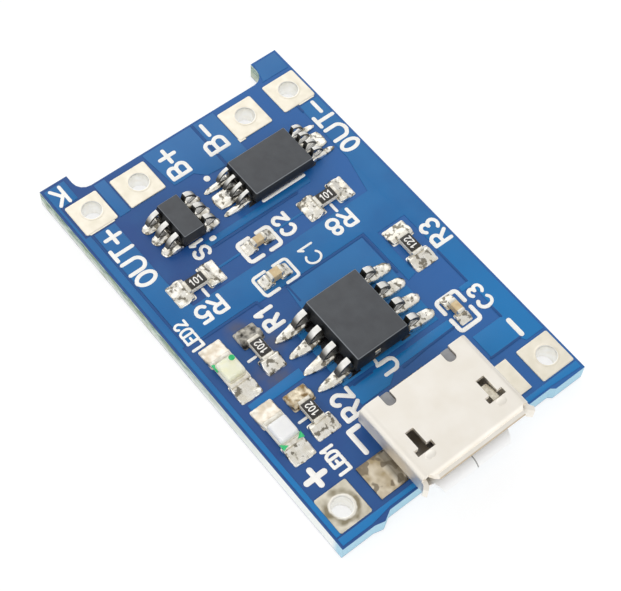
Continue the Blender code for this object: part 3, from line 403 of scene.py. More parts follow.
# The input plus pad was soldered once: its tin is dull, with a brown ring of flux round the hole
STAINED_TIN, tree, shader, parts = metal("soldered_pad_tin", ("EFE8D8", "CBC4B0"), 0.8, (0.36, 0.5), 0.4, 0.01)
centre = (12.15 * MM, -7.27 * MM, (BOARD_TOP + 0.08) * MM)
far = add(tree, "VectorMath", (parts["where"], centre), operation="DISTANCE")["Value"]
wobble = add(tree, "TexNoise", {"Vector": parts["where"], "Scale": per_mm(0.9)})[0]
far = add(tree, "Math", (wobble, 0.5 * MM, far), operation="MULTIPLY_ADD")[0]
ring = add(tree, "MapRange", (far, 1.4 * MM, 1.2 * MM, 0, 0.85))[0]
broken_up = add(tree, "TexNoise", {"Vector": parts["where"], "Scale": per_mm(1.2)})[0]
broken_up = add(tree, "MapRange", (broken_up, 0.4, 0.56))[0]
ring = add(tree, "Math", (ring, broken_up), operation="MULTIPLY")[0]
rims = ((ring, 0, 1, 0, 1, "857A60"), (far, 1.06 * MM, 0.98 * MM, 0, 1, "F6F2E8"))
feed(shader["Base Color"], tinted(tree, parts["Base Color"], *rims))

# Reflowed solder: bright, set in small wrinkles, with darker flux lines where it pulled in
SOLDER, tree, shader, parts = metal("reflowed_solder", ("FFFCF4", "EDE7D8"), 0.45, (0.18, 0.34), 0.26, 0.024)
stain = add(tree, "TexNoise", {"Vector": parts["where"], "Scale": per_mm(0.36), "Detail": 3.0})[0]
feed(shader["Base Color"], tinted(tree, parts["Base Color"], (stain, 0.53, 0.61, 0, 0.85, "6A6251")))

# Solder with a thin skin of flux left on it: cream and straw
WARM_SOLDER = metal("solder_under_thin_flux", ("F8F2E6", "DACDB8"), 0.5, (0.25, 0.42), 0.3, 0.014)[0]

# The same solder under burnt flux: amber and brown in the hollows
BURNT = metal("solder_under_flux", ("F1E6CE", "8F7650"), 0.4, (0.25, 0.5), 0.3, 0.02)[0]

# Solder charred where the iron stayed too long: grey crust with black pits and bright specks
CHARRED = finish("charred_solder", ("C9C4B8", "34312D"), 0.42, (0.3, 0.6), 0.25, 0.03, metallic=0.7)[0]

# The wide land on the plus side of the socket: tinned, with flux dried on it in brown tide marks
SOCKET_LAND, tree, shader, parts = metal("tinned_land_with_flux", ("F3E9D6", "B8A787"), 0.9, (0.3, 0.5), 0.5, 0.02)
tide = add(tree, "TexNoise", {"Vector": parts["where"], "Scale": per_mm(0.55), "Detail": 1.0})[0]
# Next to the shell it lies in shade
beside = add(tree, "SeparateXYZ", (parts["where"],))["Y"]
flux_tides_and_shade = ((tide, 0.52, 0.58, 0, 0.8, "7D7160"), (beside, -4.15 * MM, -3.85 * MM, 0, 0.8, "5C5445"))
feed(shader["Base Color"], tinted(tree, parts["Base Color"], *flux_tides_and_shade))

# Painted shadow under the chips' edges: a brown-black resin film between the leads, glossy where it runs thick
PAINTED_SHADOW = finish("painted_shadow_film", ("17161A", "262428"), 0.3, (0.25, 0.45), 0.15, 0.006, ior=1.52)[0]

# Tinned lead frame, stamped and bent: smooth and bright with a soft grain along the bend
LEAD, tree, shader, parts = metal("tinned_lead_frame", ("FFFEFA", "F4F2EC"), 0.4, (0.42, 0.54), 0.12, 0.003)
# The steep heels are painted darker, as painted shade, so that only the knees and the solder are bright
facing = add(tree, "SeparateXYZ", (add(tree, "NewGeometry")["Normal"],))["Z"]
feed(shader["Base Color"], tinted(tree, parts["Base Color"], (facing, 0.85, 0.5, 0, 0.88, "3D3A33")))

# Epoxy moulding compound: black filler-loaded resin, matt and very finely pitted from the mould
MOULD, tree, shader, parts = finish(
    "epoxy_mould_compound", ("434549", "494C50"), 0.9, (0.5, 0.62), 0.05, 0.004, ior=1.55
)
# Painted highlight and shade: the top's rim is painted paler, and the sides are painted blacker
facing = add(tree, "SeparateXYZ", (add(tree, "NewGeometry")["Normal"],))["Z"]
rim_light_and_side_shade = ((facing, 0.95, 0.8, 0, 0.8, "8A8F94"), (facing, 0.6, 0.35, 0, 1, "1C1E21"))
feed(shader["Base Color"], tinted(tree, parts["Base Color"], *rim_light_and_side_shade))

# Alumina, fired and snapped: a chalky white ceramic
ALUMINA = finish("fired_alumina", ("E6E2D8", "D6D0C2"), 0.3, (0.5, 0.7), 0.05, 0.004, ior=1.7)[0]

# Resistor overglaze: a dark glass skin, printed and fired, smooth with soft edges
GLAZE = finish("dark_overglaze", ("24221F", "302D29"), 0.3, (0.22, 0.35), 0.1, 0.003, ior=1.52)[0]

# Barium titanate capacitor body, fired: tan and faintly waxy
TITANATE = finish("fired_titanate", ("CDB084", "DAC59A"), 0.3, (0.35, 0.5), 0.06, 0.003, ior=1.6)[0]

# Plated silver ends, barrel tinned: pale, soft-edged and grainy
CAP_TIN = metal("barrel_tinned_end", ("F3EFE4", "D9D3C4"), 0.25, (0.3, 0.45), 0.08, 0.006)[0]

# Lamp base: white bismaleimide laminate, matt and clean
LAMP_WHITE = finish("white_lamp_laminate", ("F4F1E6", "E6E1D2"), 0.4, (0.45, 0.6), 0.06, 0.003)[0]


def lens_resin(name, tones):
    """Cast epoxy lens: glossy, with light scattered inside so it glows pale."""
    made, _, shader, _ = finish(name, tones, 0.7, (0.12, 0.22), 0.3, 0.003, ior=1.53)
    feed(shader["Subsurface Weight"], 0.85)
    feed(shader["Subsurface Radius"], (0.8 * MM, 0.8 * MM, 0.8 * MM))
    feed(shader["Subsurface Scale"], 1.0)
    return made


LENS_WARM = lens_resin("warm_lens_epoxy", ("FFF8CC", "FFFCDC"))
LENS_WHITE = lens_resin("clear_lens_epoxy", ("FFFFF8", "FFFFFC"))
# Green polarity marks: ink printed on the lamp's laminate
GREEN = finish("green_mark_ink", ("1FB565", "46CF86"), 0.2, (0.35, 0.5), 0.05, 0.002)[0]

# Socket shell: nickel-plated steel, blanked and bent. Satin, with faint rolling lines along the sheet
SHELL, tree, shader, parts = metal("nickel_plated_steel", ("FBF6ED", "F6F0E5"), 1.6, (0.42, 0.52), 0.5, 0.002)
along = add(tree, "Mapping", {"Vector": parts["where"], "Scale": (0.06, 1, 1)})[0]
lines = add(tree, "TexNoise", {"Vector": along, "Scale": per_mm(0.05), "Detail": 3.0})[0]
rolled = {"Height": lines, "Strength": 1.0, "Distance": 0.0009 * MM, "Normal": parts["Normal"]}
feed(shader["Normal"], add(tree, "Bump", rolled)[0])
spot = add(tree, "SeparateXYZ", (parts["where"],))
front = add(tree, "MapRange", (spot["X"], 14.7 * MM, 14.76 * MM, 0, 0.8))[0]
high = add(tree, "MapRange", (spot["Z"], 3.3 * MM, 3.4 * MM))[0]
sheared = add(tree, "Math", (front, high), operation="MULTIPLY")[0]
inside = add(tree, "MapRange", (spot["X"], 13.9 * MM, 14.15 * MM))[0]
below = add(tree, "MapRange", (spot["Z"], 1.8 * MM, 1.5 * MM))[0]
lip = add(tree, "Math", (inside, below), operation="MULTIPLY")[0]
aside = add(tree, "Math", (spot["Y"],), operation="ABSOLUTE")[0]
seam = add(tree, "MapRange", (aside, 0.05 * MM, 0.025 * MM))[0]
seam = add(tree, "Math", (seam, lip), operation="MULTIPLY")[0]
steel = tinted(
    tree,
    parts["Base Color"],
    # The sheared front edge of the upper lip shows bare brownish steel
    (sheared, 0, 1, 0, 1, "C7AE84"),
    # The lower lip, where plugs slide in, is painted a dull white as painted light, lifting it out of the upper lip's
    # shade, with the sheet's seam in its middle
    (lip, 0, 1, 0, 1, "FFFFFF"),
    (seam, 0, 1, 0, 1, "9C9C9A"),
)
feed(shader["Base Color"], steel)
# The painted-light white of the lower lip is also made mostly not metallic
feed(shader["Metallic"], add(tree, "MapRange", (lip, 0, 1, 1, 0.15))[0])

# Spring latches seen through the shell's slots: the same sheet, stressed and a little darker
SPRING = metal("sprung_steel", ("DCD6C6", "B9B1A0"), 0.3, (0.25, 0.4), 0.1, 0.004)[0]

# Liquid-crystal polymer insulator: black, satin, moulded with a faint flow grain
POLYMER = finish("moulded_lcp", ("2E2823", "3A332D"), 0.5, (0.4, 0.55), 0.08, 0.004)[0]

# The same resin where it fills the shell's notches, painted mid grey as a lit copy of the black resin: painted light
GREY_LIT_POLYMER = finish("lcp_painted_lit_grey", ("87878A", "949496"), 0.4, (0.45, 0.6), 0.1, 0.004)[0]

# Contacts: gold flash on copper alloy, stamped
GOLD = metal("gold_flashed_contact", ("E2BE74", "D2AA5C"), 0.3, (0.2, 0.3), 0.08, 0.002)[0]

# The first start of a node's name that fits gives its finish
NODE_FINISH = {
    "circuit_board": MASK_BARE,
    "pad_": PAD_TIN,
    "socket_shell": SHELL,
    "socket_insulator": POLYMER,
    "socket_contact": GOLD,
    "socket_solder_plus": SOCKET_LAND,
    "socket_solder_minus": PAD_TIN,
    "charger_chip_body": MOULD,
    "switch_chip_body": MOULD,
    "protection_chip_body": MOULD,
    "charger_chip": LEAD,
    "switch_chip": LEAD,
    "protection_chip": LEAD,
    "resistor": CAP_TIN,
    "capacitor": TITANATE,
    "led_": LAMP_WHITE,
}
for node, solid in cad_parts.items():
    coat(solid, next(made for start, made in NODE_FINISH.items() if node.startswith(start)))


# Camera, at the photograph's angle

FOCAL_PIXELS = 1572.46
IMAGE_WIDTH = 621
EYE = (0.03374911, -0.03067939, 0.07865256)
RIGHT = Vector((0.62640567, 0.77852107, 0.03899839))
DOWN = Vector((0.68840563, -0.52904191, -0.49619789))
FORWARD = Vector((-0.36566873, 0.33766788, -0.86733314))
data = bpy.data.cameras.new("camera")
data.sensor_fit = "HORIZONTAL"
data.sensor_width = 36
data.lens = FOCAL_PIXELS / IMAGE_WIDTH * data.sensor_width
data.clip_start = 0.005
data.clip_end = 5
camera = bpy.data.objects.new("camera", data)
bpy.context.scene.collection.objects.link(camera)
turn = Matrix((RIGHT, -DOWN, -FORWARD)).transposed()
camera.matrix_world = Matrix.Translation(EYE) @ turn.to_4x4()
bpy.context.scene.camera = camera


# Light: a pale room, one broad lamp behind on the output side, and two weak ones in front and at the socket's end

world = bpy.data.worlds.new("pale_room")
bpy.context.scene.world = world
world.use_nodes = True
tree = world.node_tree
path = add(tree, "LightPath")
height = add(tree, "SeparateXYZ", (add(tree, "TexCoord")["Generated"],))["Z"]
room = add(tree, "MapRange", (height, -0.1, 0.9, 0.64, 0.88))[0]
shine = add(tree, "MapRange", (height, 0.0, 0.6, 0.6, 0.75))[0]
lit = add(tree, "Mix", {0: path["Is Glossy Ray"], 2: room, 3: shine}, data_type="FLOAT")[0]
seen = add(tree, "Mix", {0: path["Is Camera Ray"], 2: lit, 3: 1.0}, data_type="FLOAT")[0]
feed(tree.nodes["Background"].inputs["Strength"], seen)
feed(tree.nodes["Background"].inputs["Color"], "FFFFFF")


def lamp(name, place, size, power):
    """A square lamp aimed at the middle of the board."""
    light = bpy.data.lights.new(name, "AREA")
    light.shape = "SQUARE"
    light.size = size
    light.energy = power
    holder = bpy.data.objects.new(name, light)
    bpy.context.scene.collection.objects.link(holder)
    holder.location = place
    holder.rotation_euler = (-Vector(place)).to_track_quat("-Z", "Y").to_euler()


lamp("broad_lamp", (-0.528, 0.144, 0.368), 0.832, 1.12)
lamp("front_lamp", (0.05, -0.24, 0.14), 0.2, 0.12)
lamp("socket_end_lamp", (0.3, 0, 0.05), 0.2, 0.14)

# The floor is white to the camera, and keeps the board's shadow
clear()
bpy.ops.mesh.primitive_plane_add(size=2, location=(0, 0, -0.00005))
floor = bpy.context.object
floor.name = "floor"
FLOOR = bpy.data.materials.new("white_paper")
FLOOR.use_nodes = True
tree = FLOOR.node_tree
shader = tree.nodes["Principled BSDF"].inputs
path = add(tree, "LightPath")
through = add(tree, "Math", (path["Is Glossy Ray"], path["Is Transmission Ray"]), operation="MAXIMUM")[0]
seen = add(tree, "Math", (path["Is Camera Ray"], through), operation="MAXIMUM")[0]
feed(shader["Roughness"], 0.9)
feed(shader["Base Color"], tinted(tree, "F2F2F2", (seen, 0, 1, 0, 1, "9A9A9A")))
feed(shader["Emission Color"], "FFFFFF")
feed(shader["Emission Strength"], add(tree, "MapRange", (seen, 0, 1, 0, 0.72))[0])
coat(floor, FLOOR)


# Copper under the mask: pours and tracks stand a little proud, with soft borders

MASK_RISE = 0.03
COPPER = {
    "pour_minus_side": [
        (-9.6, 8.6), (10.75, 8.6), (10.75, 7.3), (10.35, 7.1), (10.35, 5.0), (8.75, 5.0), (8.75, 7.25),
        (6.2, 7.25), (6.2, 6.5), (5.85, 6.5), (5.85, 7.25), (0.2, 7.25), (0.2, 5.2), (3.6, 5.2), (3.75, 4.55),
        (-0.3, 4.55), (-0.3, -3.15), (-0.5, -3.25), (-0.5, -7.95), (-9.6, -7.95), (-9.6, -6.5), (-4.5, -6.5),
        (-2.4, -6.2), (-2.4, 2.2), (-2.4, 6.6), (-5.0, 7.2), (-9.6, 7.2),
    ],
    "pour_charger": [(-0.1, 4.25), (6.7, 4.25), (6.7, -2.7), (1.7, -2.7), (1.7, -1.5), (-0.1, -1.3)],
    "track_input": [
        (7.05, 4.6), (7.6, 4.6), (7.65, 0.2), (8.2, -0.6), (8.2, -2.6), (6.95, -2.6), (6.95, -0.6), (7.05, 0.2),
    ],
    "pour_output_minus": [(-12.45, 8.6), (-13.85, 8.6), (-13.85, 7.0), (-12.6, 6.7), (-12.45, 6.6)],
    "pour_battery_minus": [(-12.45, 2.75), (-9.0, 2.75), (-9.0, 5.2), (-8.9, 5.2), (-8.9, 1.25), (-12.45, 1.25)],
    "pour_battery_plus": [(-12.45, 1.05), (-8.9, 1.05), (-9.0, -0.2), (-9.6, -0.8), (-9.6, -2.2), (-12.45, -2.5)],
    "pour_output_plus": [(-12.45, -5.25), (-9.75, -5.25), (-9.75, -6.0), (-12.45, -6.0)],
    "track_switch": [(-5.4, 4.4), (-4.95, 4.4), (-4.95, -3.2), (-5.4, -3.2)],
    "track_resistors_upper": [(-3.62, 2.6), (-3.47, 2.6), (-3.47, 0.2), (-3.62, 0.2)],
    "track_resistors_lower": [(-3.62, -1.7), (-3.47, -1.7), (-3.47, -3.6), (-3.62, -3.6)],
    "pour_input_end": [
        (13.4, 8.6), (13.85, 8.6), (13.7, 6.2), (13.65, -5.2), (13.85, -6.6), (13.85, -8.6), (13.4, -8.6),
    ],
    "pour_plus_edge": [
        (-13.8, -8.6), (13.3, -8.6), (13.3, -8.3), (-0.6, -8.3), (-0.6, -8.14), (-9.7, -8.14), (-9.7, -8.45),
        (-12.3, -8.45), (-12.3, -7.2), (-13.8, -7.2),
    ],
    "pour_lamp": [(4.3, -3.95), (4.95, -3.95), (4.95, -7.6), (4.4, -7.6)],
}
for name, outline in COPPER.items():
    plate = drawn("mask_over_" + name, [outline], BOARD_TOP - SUNK, BOARD_TOP + MASK_RISE, 0.012)
    thin = "battery" in name or "output" in name
    set_down(smooth(plate), MASK_THIN if thin else MASK_COPPER, "solder_mask")


# Legend: letters drawn as pen strokes with round ends


def arc(x, y, across, up, start, end, steps=12):
    angles = [math.radians(start + (end - start) * k / steps) for k in range(steps + 1)]
    return [(x + across * math.cos(a), y + up * math.sin(a)) for a in angles]


GLYPHS = {
    "O": [arc(0.5, 0.5, 0.5, 0.5, 90, 450, 24)],
    "U": [[(0, 1), (0, 0.4), *arc(0.5, 0.36, 0.5, 0.36, 180, 360), (1, 0.4), (1, 1)]],
    "T": [[(0, 1), (1, 1)], [(0.5, 1), (0.5, 0)]],
    "B": [
        [(0, 0), (0, 1), (0.6, 1), *arc(0.6, 0.77, 0.34, 0.23, 90, -90), (0, 0.53)],
        [(0.6, 0.53), *arc(0.62, 0.265, 0.38, 0.265, 90, -90), (0, 0)],
    ],
    "K": [[(0, 0), (0, 1)], [(0, 0.4), (1, 1)], [(0.3, 0.58), (1, 0)]],
    "R": [[(0, 0), (0, 1), (0.6, 1), *arc(0.6, 0.75, 0.38, 0.25, 90, -90), (0, 0.5)], [(0.5, 0.5), (1, 0)]],
    "C": [arc(0.55, 0.5, 0.5, 0.5, 50, 310, 20)],
    "L": [[(0, 1), (0, 0), (1, 0)]],
    "E": [[(1, 1), (0, 1), (0, 0), (1, 0)], [(0, 0.52), (0.75, 0.52)]],
    "D": [[(0, 0), (0, 1), (0.45, 1), *arc(0.45, 0.5, 0.55, 0.5, 90, -90), (0, 0)]],
    "S": [[*arc(0.5, 0.76, 0.42, 0.24, 20, 260, 10), *arc(0.5, 0.26, 0.46, 0.26, 80, -160, 10)]],
    "1": [[(0.1, 0.75), (0.6, 1), (0.6, 0)]],
    "2": [[*arc(0.5, 0.7, 0.46, 0.3, 160, -30, 10), (0, 0), (1, 0)]],
    "3": [[*arc(0.47, 0.76, 0.42, 0.24, 150, -80, 10), *arc(0.47, 0.27, 0.5, 0.27, 80, -150, 10)]],
    "5": [[(0.9, 1), (0.15, 1), (0.1, 0.55), *arc(0.47, 0.33, 0.5, 0.33, 130, -150, 12)]],
    "8": [arc(0.5, 0.28, 0.5, 0.28, 90, 450, 18), arc(0.5, 0.78, 0.38, 0.22, 90, 450, 18)],
    "+": [[(0, 0.5), (1, 0.5)], [(0.5, 0), (0.5, 1)]],
    "-": [[(0, 0.5), (1, 0.5)]],
}
SHARP = math.radians(38)
# How a stroke's round end runs out: shares of its half width, beyond the end and in size
ROUND_END = ((1.0, 0.05), (0.75, 0.66), (0.35, 0.94))


def pen_lines(points):
    """Splits a line at its sharp corners, so that each stroke ends round."""
    lines = [[Vector(points[0])]]
    for k in range(1, len(points)):
        here = Vector(points[k])
        if (here - lines[-1][-1]).length < 1e-6:
            continue
        lines[-1].append(here)
        if k < len(points) - 1:
            ahead = Vector(points[k + 1]) - here
            behind = here - lines[-1][-2]
            if ahead.length > 1e-6 and behind.angle(ahead) > SHARP:
                lines.append([here])
    return [line for line in lines if len(line) > 1]


def pen(name, strokes, width, low, rise):
    """Strokes of a pen on a flat surface: rounded ridges of that width, standing so high."""
    data = bpy.data.curves.new(name, "CURVE")
    data.dimensions = "3D"
    data.bevel_depth = width / 2
    data.bevel_resolution = 2
    data.use_fill_caps = True
    for points in strokes:
        for line in pen_lines(points):
            first = (line[0] - line[1]).normalized() * width / 2
            last = (line[-1] - line[-2]).normalized() * width / 2
            path = [(line[0] + first * far, size) for far, size in ROUND_END]
            path += [(point, 1.0) for point in line]
            path += [(line[-1] + last * far, size) for far, size in reversed(ROUND_END)]
            spline = data.splines.new("POLY")
            spline.points.add(len(path) - 1)
            for point, (place, size) in zip(spline.points, path):
                point.co = (place.x, place.y, 0, 1)
                point.radius = size
    return smooth(made_mesh(name, data, (0, 0, low), (1, 1, 2 * rise / width)))


def glyph(letter, box, turned):
    """A letter's strokes in a box on the board, upside down or reading towards the plus side."""
    x0, x1, y0, y1 = box
    if turned == 180:
        return [[(x1 - u * (x1 - x0), y1 - v * (y1 - y0)) for u, v in stroke] for stroke in GLYPHS[letter]]
    return [[(x0 + v * (x1 - x0), y1 - u * (y1 - y0)) for u, v in stroke] for stroke in GLYPHS[letter]]


# Narrow gaps between the copper sheets
GAPS = {
    "top": [(3.3, 7.2), (5.8, 7.2)],
    "top_right": [(7.95, 7.2), (8.75, 7.2)],
    "beside_input": [(10.38, 7.4), (10.38, 4.95)],
    "charger_corner": [(2.9, 4.4), (-0.2, 4.4), (-0.2, -1.2), (1.0, -1.2)],
    "input_track": [(7.62, 4.6), (7.68, 2.4), (7.82, 0.7)],
    "input_track_low": [(7.0, -0.9), (7.0, -2.2)],
    "switch_side": [(-4.82, 3.2), (-4.82, -2.9)],
    "battery_minus": [(-12.4, 1.1), (-8.8, 1.1)],
    "lamp_side": [(-9.7, -8.06), (-0.7, -8.06)],
    "lamp_corner": [(0.3, -3.2), (-0.4, -3.2), (-0.4, -7.1)],
    "output_minus": [(-9.75, 7.2), (-9.2, 7.2)],
}
for name, line in GAPS.items():
    set_down(pen("gap_" + name, [line], 0.16, BOARD_TOP + MASK_RISE * 0.9, 0.006), MASK_GAP, "solder_mask")


INK_RISE = 0.022


def ink(name, strokes, width):
    """Legend ink over the mask."""
    ridge = pen(name, strokes, width, BOARD_TOP + MASK_RISE * 0.5, INK_RISE + MASK_RISE * 0.5)
    set_down(ridge, INK, "solder_mask")


# The turn of each word, the width of its strokes, and each letter's box: x from and to, y from and to
LEGEND = {
    "out_minus": (180, 0.3, {
        "O": (-5.95, -5.3, 7.36, 8.5), "U": (-7.27, -6.32, 7.36, 8.5),
        "T": (-8.4, -7.65, 7.36, 8.5), "-": (-9.42, -8.57, 7.9, 8.26),
    }),
    "out_plus": (180, 0.29, {
        "O": (-5.85, -5.1, -7.84, -6.64), "U": (-6.98, -6.13, -7.84, -6.64),
        "T": (-8.1, -7.35, -7.86, -6.62), "+": (-9.35, -8.4, -7.65, -6.66),
    }),
    "battery_minus": (180, 0.3, {"B": (-10.88, -10.03, 0.83, 2.13), "-": (-12.1, -11.25, 1.4, 1.8)}),
    "battery_plus": (180, 0.3, {"B": (-10.72, -9.94, -1.98, -0.79), "+": (-12.0, -11.05, -1.85, -0.84)}),
    "k": (90, 0.26, {"K": (-13.6, -12.42, -8.3, -7.67)}),
    "resistor_6": (90, 0.27, {"R": (-2.15, -1.1, 4.12, 4.8), "8": (-2.15, -1.1, 3.13, 3.82)}),
    "resistor_5": (90, 0.27, {"R": (-2.13, -1.1, -5.42, -4.7), "5": (-2.13, -1.1, -6.42, -5.72)}),
    "resistor_3": (180, 0.28, {"R": (2.35, 3.02, 7.34, 8.46), "3": (1.35, 2.02, 7.34, 8.46)}),
    "resistor_1": (180, 0.26, {"R": (0.9, 1.48, -3.84, -2.76), "1": (0.12, 0.5, -3.84, -2.76)}),
    "resistor_2": (180, 0.27, {"R": (7.85, 8.5, -3.84, -2.64), "2": (6.86, 7.5, -3.84, -2.64)}),
    "capacitor_3": (180, 0.24, {"C": (7.15, 7.82, 6.7, 7.56), "3": (6.3, 6.86, 6.7, 7.56)}),
    "capacitor_2": (180, 0.24, {"C": (-3.42, -2.8, 0.8, 1.66), "2": (-4.25, -3.68, 0.8, 1.66)}),
    "capacitor_1": (180, 0.17, {"C": (-1.12, -0.35, 0.74, 1.68), "1": (-1.75, -1.4, 0.74, 1.68)}),
    "lamp_2": (180, 0.18, {
        "L": (-0.42, -0.08, -7.92, -7.2), "E": (-0.93, -0.58, -7.92, -7.2),
        "D": (-1.45, -1.08, -7.92, -7.2), "2": (-1.98, -1.6, -7.92, -7.2),
    }),
    "lamp_1": (180, 0.2, {
        "L": (10.33, 10.68, -6.18, -5.46), "E": (9.82, 10.17, -6.18, -5.46),
        "D": (9.32, 9.67, -6.18, -5.46), "1": (8.94, 9.16, -6.18, -5.46),
    }),
    "charger": (180, 0.27, {"U": (6.87, 7.6, -0.38, 0.62)}),
    "protection": (180, 0.22, {"1": (-5.75, -5.5, -3.98, -3.2), "S": (-5.25, -4.6, -4.18, -3.2)}),
    "input_minus": (180, 0.38, {"-": (9.22, 10.28, 7.15, 7.55)}),
    "input_plus": (180, 0.36, {"+": (9.45, 10.48, -7.92, -6.73)}),
}
for name, (turned, width, letters) in LEGEND.items():
    ink("legend_" + name, [stroke for letter, box in letters.items() for stroke in glyph(letter, box, turned)], width)

BEND = 0.2


def bracket(x0, x1, y0, y1, gap, along):
    """Two facing brackets round a part: along X or Y says which way they open."""
    low, high = gap
    left, right, near, far = x0 + BEND, x1 - BEND, y0 + BEND, y1 - BEND
    if along == "X":
        return [
            [(low, y1), *arc(left, far, BEND, BEND, 90, 180, 4), *arc(left, near, BEND, BEND, 180, 270, 4), (low, y0)],
            [(high, y1), *arc(right, far, BEND, BEND, 90, 0, 4), *arc(right, near, BEND, BEND, 0, -90, 4), (high, y0)],
        ]
    return [
        [(x0, high), *arc(left, far, BEND, BEND, 180, 90, 4), *arc(right, far, BEND, BEND, 90, 0, 4), (x1, high)],
        [(x0, low), *arc(left, near, BEND, BEND, 180, 270, 4), *arc(right, near, BEND, BEND, 270, 360, 4), (x1, low)],
    ]


MARKS = {
    "round_capacitor_3": (0.27, bracket(5.85, 8.12, 4.76, 6.24, (6.7, 7.22), "X")),
    "round_capacitor_2": (0.26, bracket(-4.08, -2.64, -1.86, 0.38, (-1.0, -0.42), "Y")),
    "round_capacitor_1": (0.24, bracket(-1.73, -0.34, -2.56, -0.14, (-1.66, -1.02), "Y")),
    "charger_flag": (0.22, [[(6.5, -0.3), (6.86, -0.34)]]),
    "beside_switch": (0.22, [[(-5.57, 1.3), (-5.57, 4.3)]]),
    "corner_at_socket": (0.32, [[(9.03, -3.6), (9.03, -4.24), (10.5, -4.24)]]),
    "resistor_6_tick": (0.2, [[(-2.95, 4.28), (-2.4, 4.28)]]),
    "resistor_5_tick": (0.2, [[(-2.95, -5.13), (-2.4, -5.13)]]),
    "resistor_1_tick": (0.17, [[(2.3, -5.4), (2.3, -5.9)]]),
    "resistor_2_tick": (0.17, [[(6.93, -5.5), (6.93, -6.0)]]),
    "switch_dot": (0.4, [[(-8.85, -0.4), (-8.82, -0.4)]]),
    "protection_dot": (0.34, [[(-5.3, -2.55), (-5.3, -2.7)]]),
}
for name, (width, strokes) in MARKS.items():
    ink("mark_" + name, strokes, width)


# Solder, leads and small parts, each modelled once along X with the board's top at zero height


def pool(name, start, end, width, height, crest, round_off, point=0.0):
    """A pool of set solder on a land, from start to end along X.

    It is highest at the crest, and drawn to a point at its end by the share that point says.
    """
    flat = 0.35 * height
    swell = 2.2
    clear()
    bpy.ops.mesh.primitive_cube_add(size=2)
    piece = named(name)
    pick(piece, "FACE")
    bpy.ops.mesh.subdivide(number_cuts=7)
    bpy.ops.transform.tosphere(value=round_off, center_override=(0, 0, 0))
    bpy.ops.transform.resize(value=((end - start) / 2, width / 2, flat), center_override=(0, 0, 0))
    bpy.ops.transform.translate(value=((start + end) / 2, 0, 0))
    bpy.ops.mesh.bisect(plane_co=(0, 0, 0), plane_no=(0, 0, 1), clear_inner=True, use_fill=True)
    clear()
    reach = max(crest - start, end - crest, width / 2)
    for vert in piece.data.vertices:
        if vert.co.z > 0.001:
            far = min(abs(vert.co.x - crest) / reach, 1)
            vert.co.z *= 1 + swell * (1 - far) ** 2.2
        beyond = max(vert.co.x - crest, 0) / (end - crest)
        vert.co.y *= 1 - point * beyond**1.5
    return piece


wrinkle = bpy.data.textures.new("solder_wrinkle", "CLOUDS")
wrinkle.noise_scale = 0.4
wrinkle.noise_depth = 1


def wrinkled(piece, strength):
    """Set solder is never true: it is pushed in and out a little, by a cloudy pattern."""
    apply(piece, "SUBSURF", levels=1, render_levels=1)
    apply(piece, "DISPLACE", texture=wrinkle, strength=strength, mid_level=0.5, texture_coords="GLOBAL")
    return smooth(piece, 60)


def ribbon(path, thickness):
    """The outline of a bent strip whose middle runs along the path, each point with its bend radius."""
    line = []
    for k, (x, z, bend) in enumerate(path):
        here = Vector((x, z))
        if not bend:
            line.append(here)
            continue
        before = (Vector(path[k - 1][:2]) - here).normalized()
        after = (Vector(path[k + 1][:2]) - here).normalized()
        angle = before.angle(after)
        back = bend / math.tan(angle / 2)
        start = here + before * back
        end = here + after * back
        centre = here + (before + after).normalized() * bend / math.sin(angle / 2)
        line.append(start)
        line += [centre + (start - centre).slerp(end - centre, step / 5) for step in range(1, 6)]
    upper = []
    lower = []
    for k, here in enumerate(line):
        behind = here - line[k - 1] if k else line[1] - here
        ahead = line[k + 1] - here if k < len(line) - 1 else behind
        along = (behind.normalized() + ahead.normalized()).normalized()
        across = Vector((-along.y, along.x)) * thickness / 2
        upper.append(here + across)
        lower.append(here - across)
    return [tuple(point) for point in upper + lower[::-1]]


def side_drawn(name, outline, low, high, soft):
    """A shape drawn from the side (x, z) and given its width along Y, counted towards the plus side."""
    piece = drawn(name, [outline], low, high, soft)
    piece.rotation_euler = (math.pi / 2, 0, 0)
    return bake(piece)


def lead_shape(
    name, body_half, toe, shoulder, foot, width, thickness, land_width, land_end, point, offsets=(0,), round_off=0.6
):
    """Gull-wing leads reaching out along X from the body's side, in their pool of solder."""
    sole = 0.06
    centre_z = sole + thickness / 2
    heel = toe - foot
    path = [
        (body_half - 0.3, shoulder, 0),
        (heel - thickness * 0.55, shoulder, thickness),
        (heel, centre_z, thickness),
        (toe, centre_z + 0.02, 0),
    ]
    outline = ribbon(path, thickness)
    shapes = []
    for offset in offsets:
        strip = side_drawn(name, outline, offset - width / 2, offset + width / 2, thickness * 0.22)
        shapes.append(coat(smooth(strip), LEAD))
    # The solder climbs over the foot to the knee's lower half
    cover = (sole + thickness) * 1.7
    land = pool(name + "_solder", heel - 0.24, land_end, land_width, cover, heel + 0.1, round_off, point)
    shapes.append(coat(wrinkled(land, 0.07), SOLDER))
    return join(name, shapes)


def chip_body(chip, shoulder, draft, soft):
    """A moulded body: its sides lean in from the parting line both ways, and its edges are soft."""
    node = chip + "_body"
    low, high = corners(node)
    low.z = SEAT + 0.1
    width = high.x - low.x
    depth = high.y - low.y
    body = block(node + "_moulded", low, high)
    pick(body, "FACE")
    bpy.ops.mesh.bisect(plane_co=(0, 0, SEAT + shoulder), plane_no=(0, 0, 1))
    lean = (1 - 2 * draft / width, 1 - 2 * draft / depth, 1)
    for way in (1, -1):
        pick(body, "FACE", lambda face: face.normal.z * way > UPRIGHT)
        bpy.ops.transform.resize(value=lean, center_override=(low + high) / 2)
    set_down(soften(body, soft, 3), MOULD, chip + "_mould", node)


chip_body("charger_chip", 0.68, 0.16, 0.07)
chip_body("switch_chip", 0.44, 0.1, 0.07)
chip_body("protection_chip", 0.46, 0.12, 0.05)


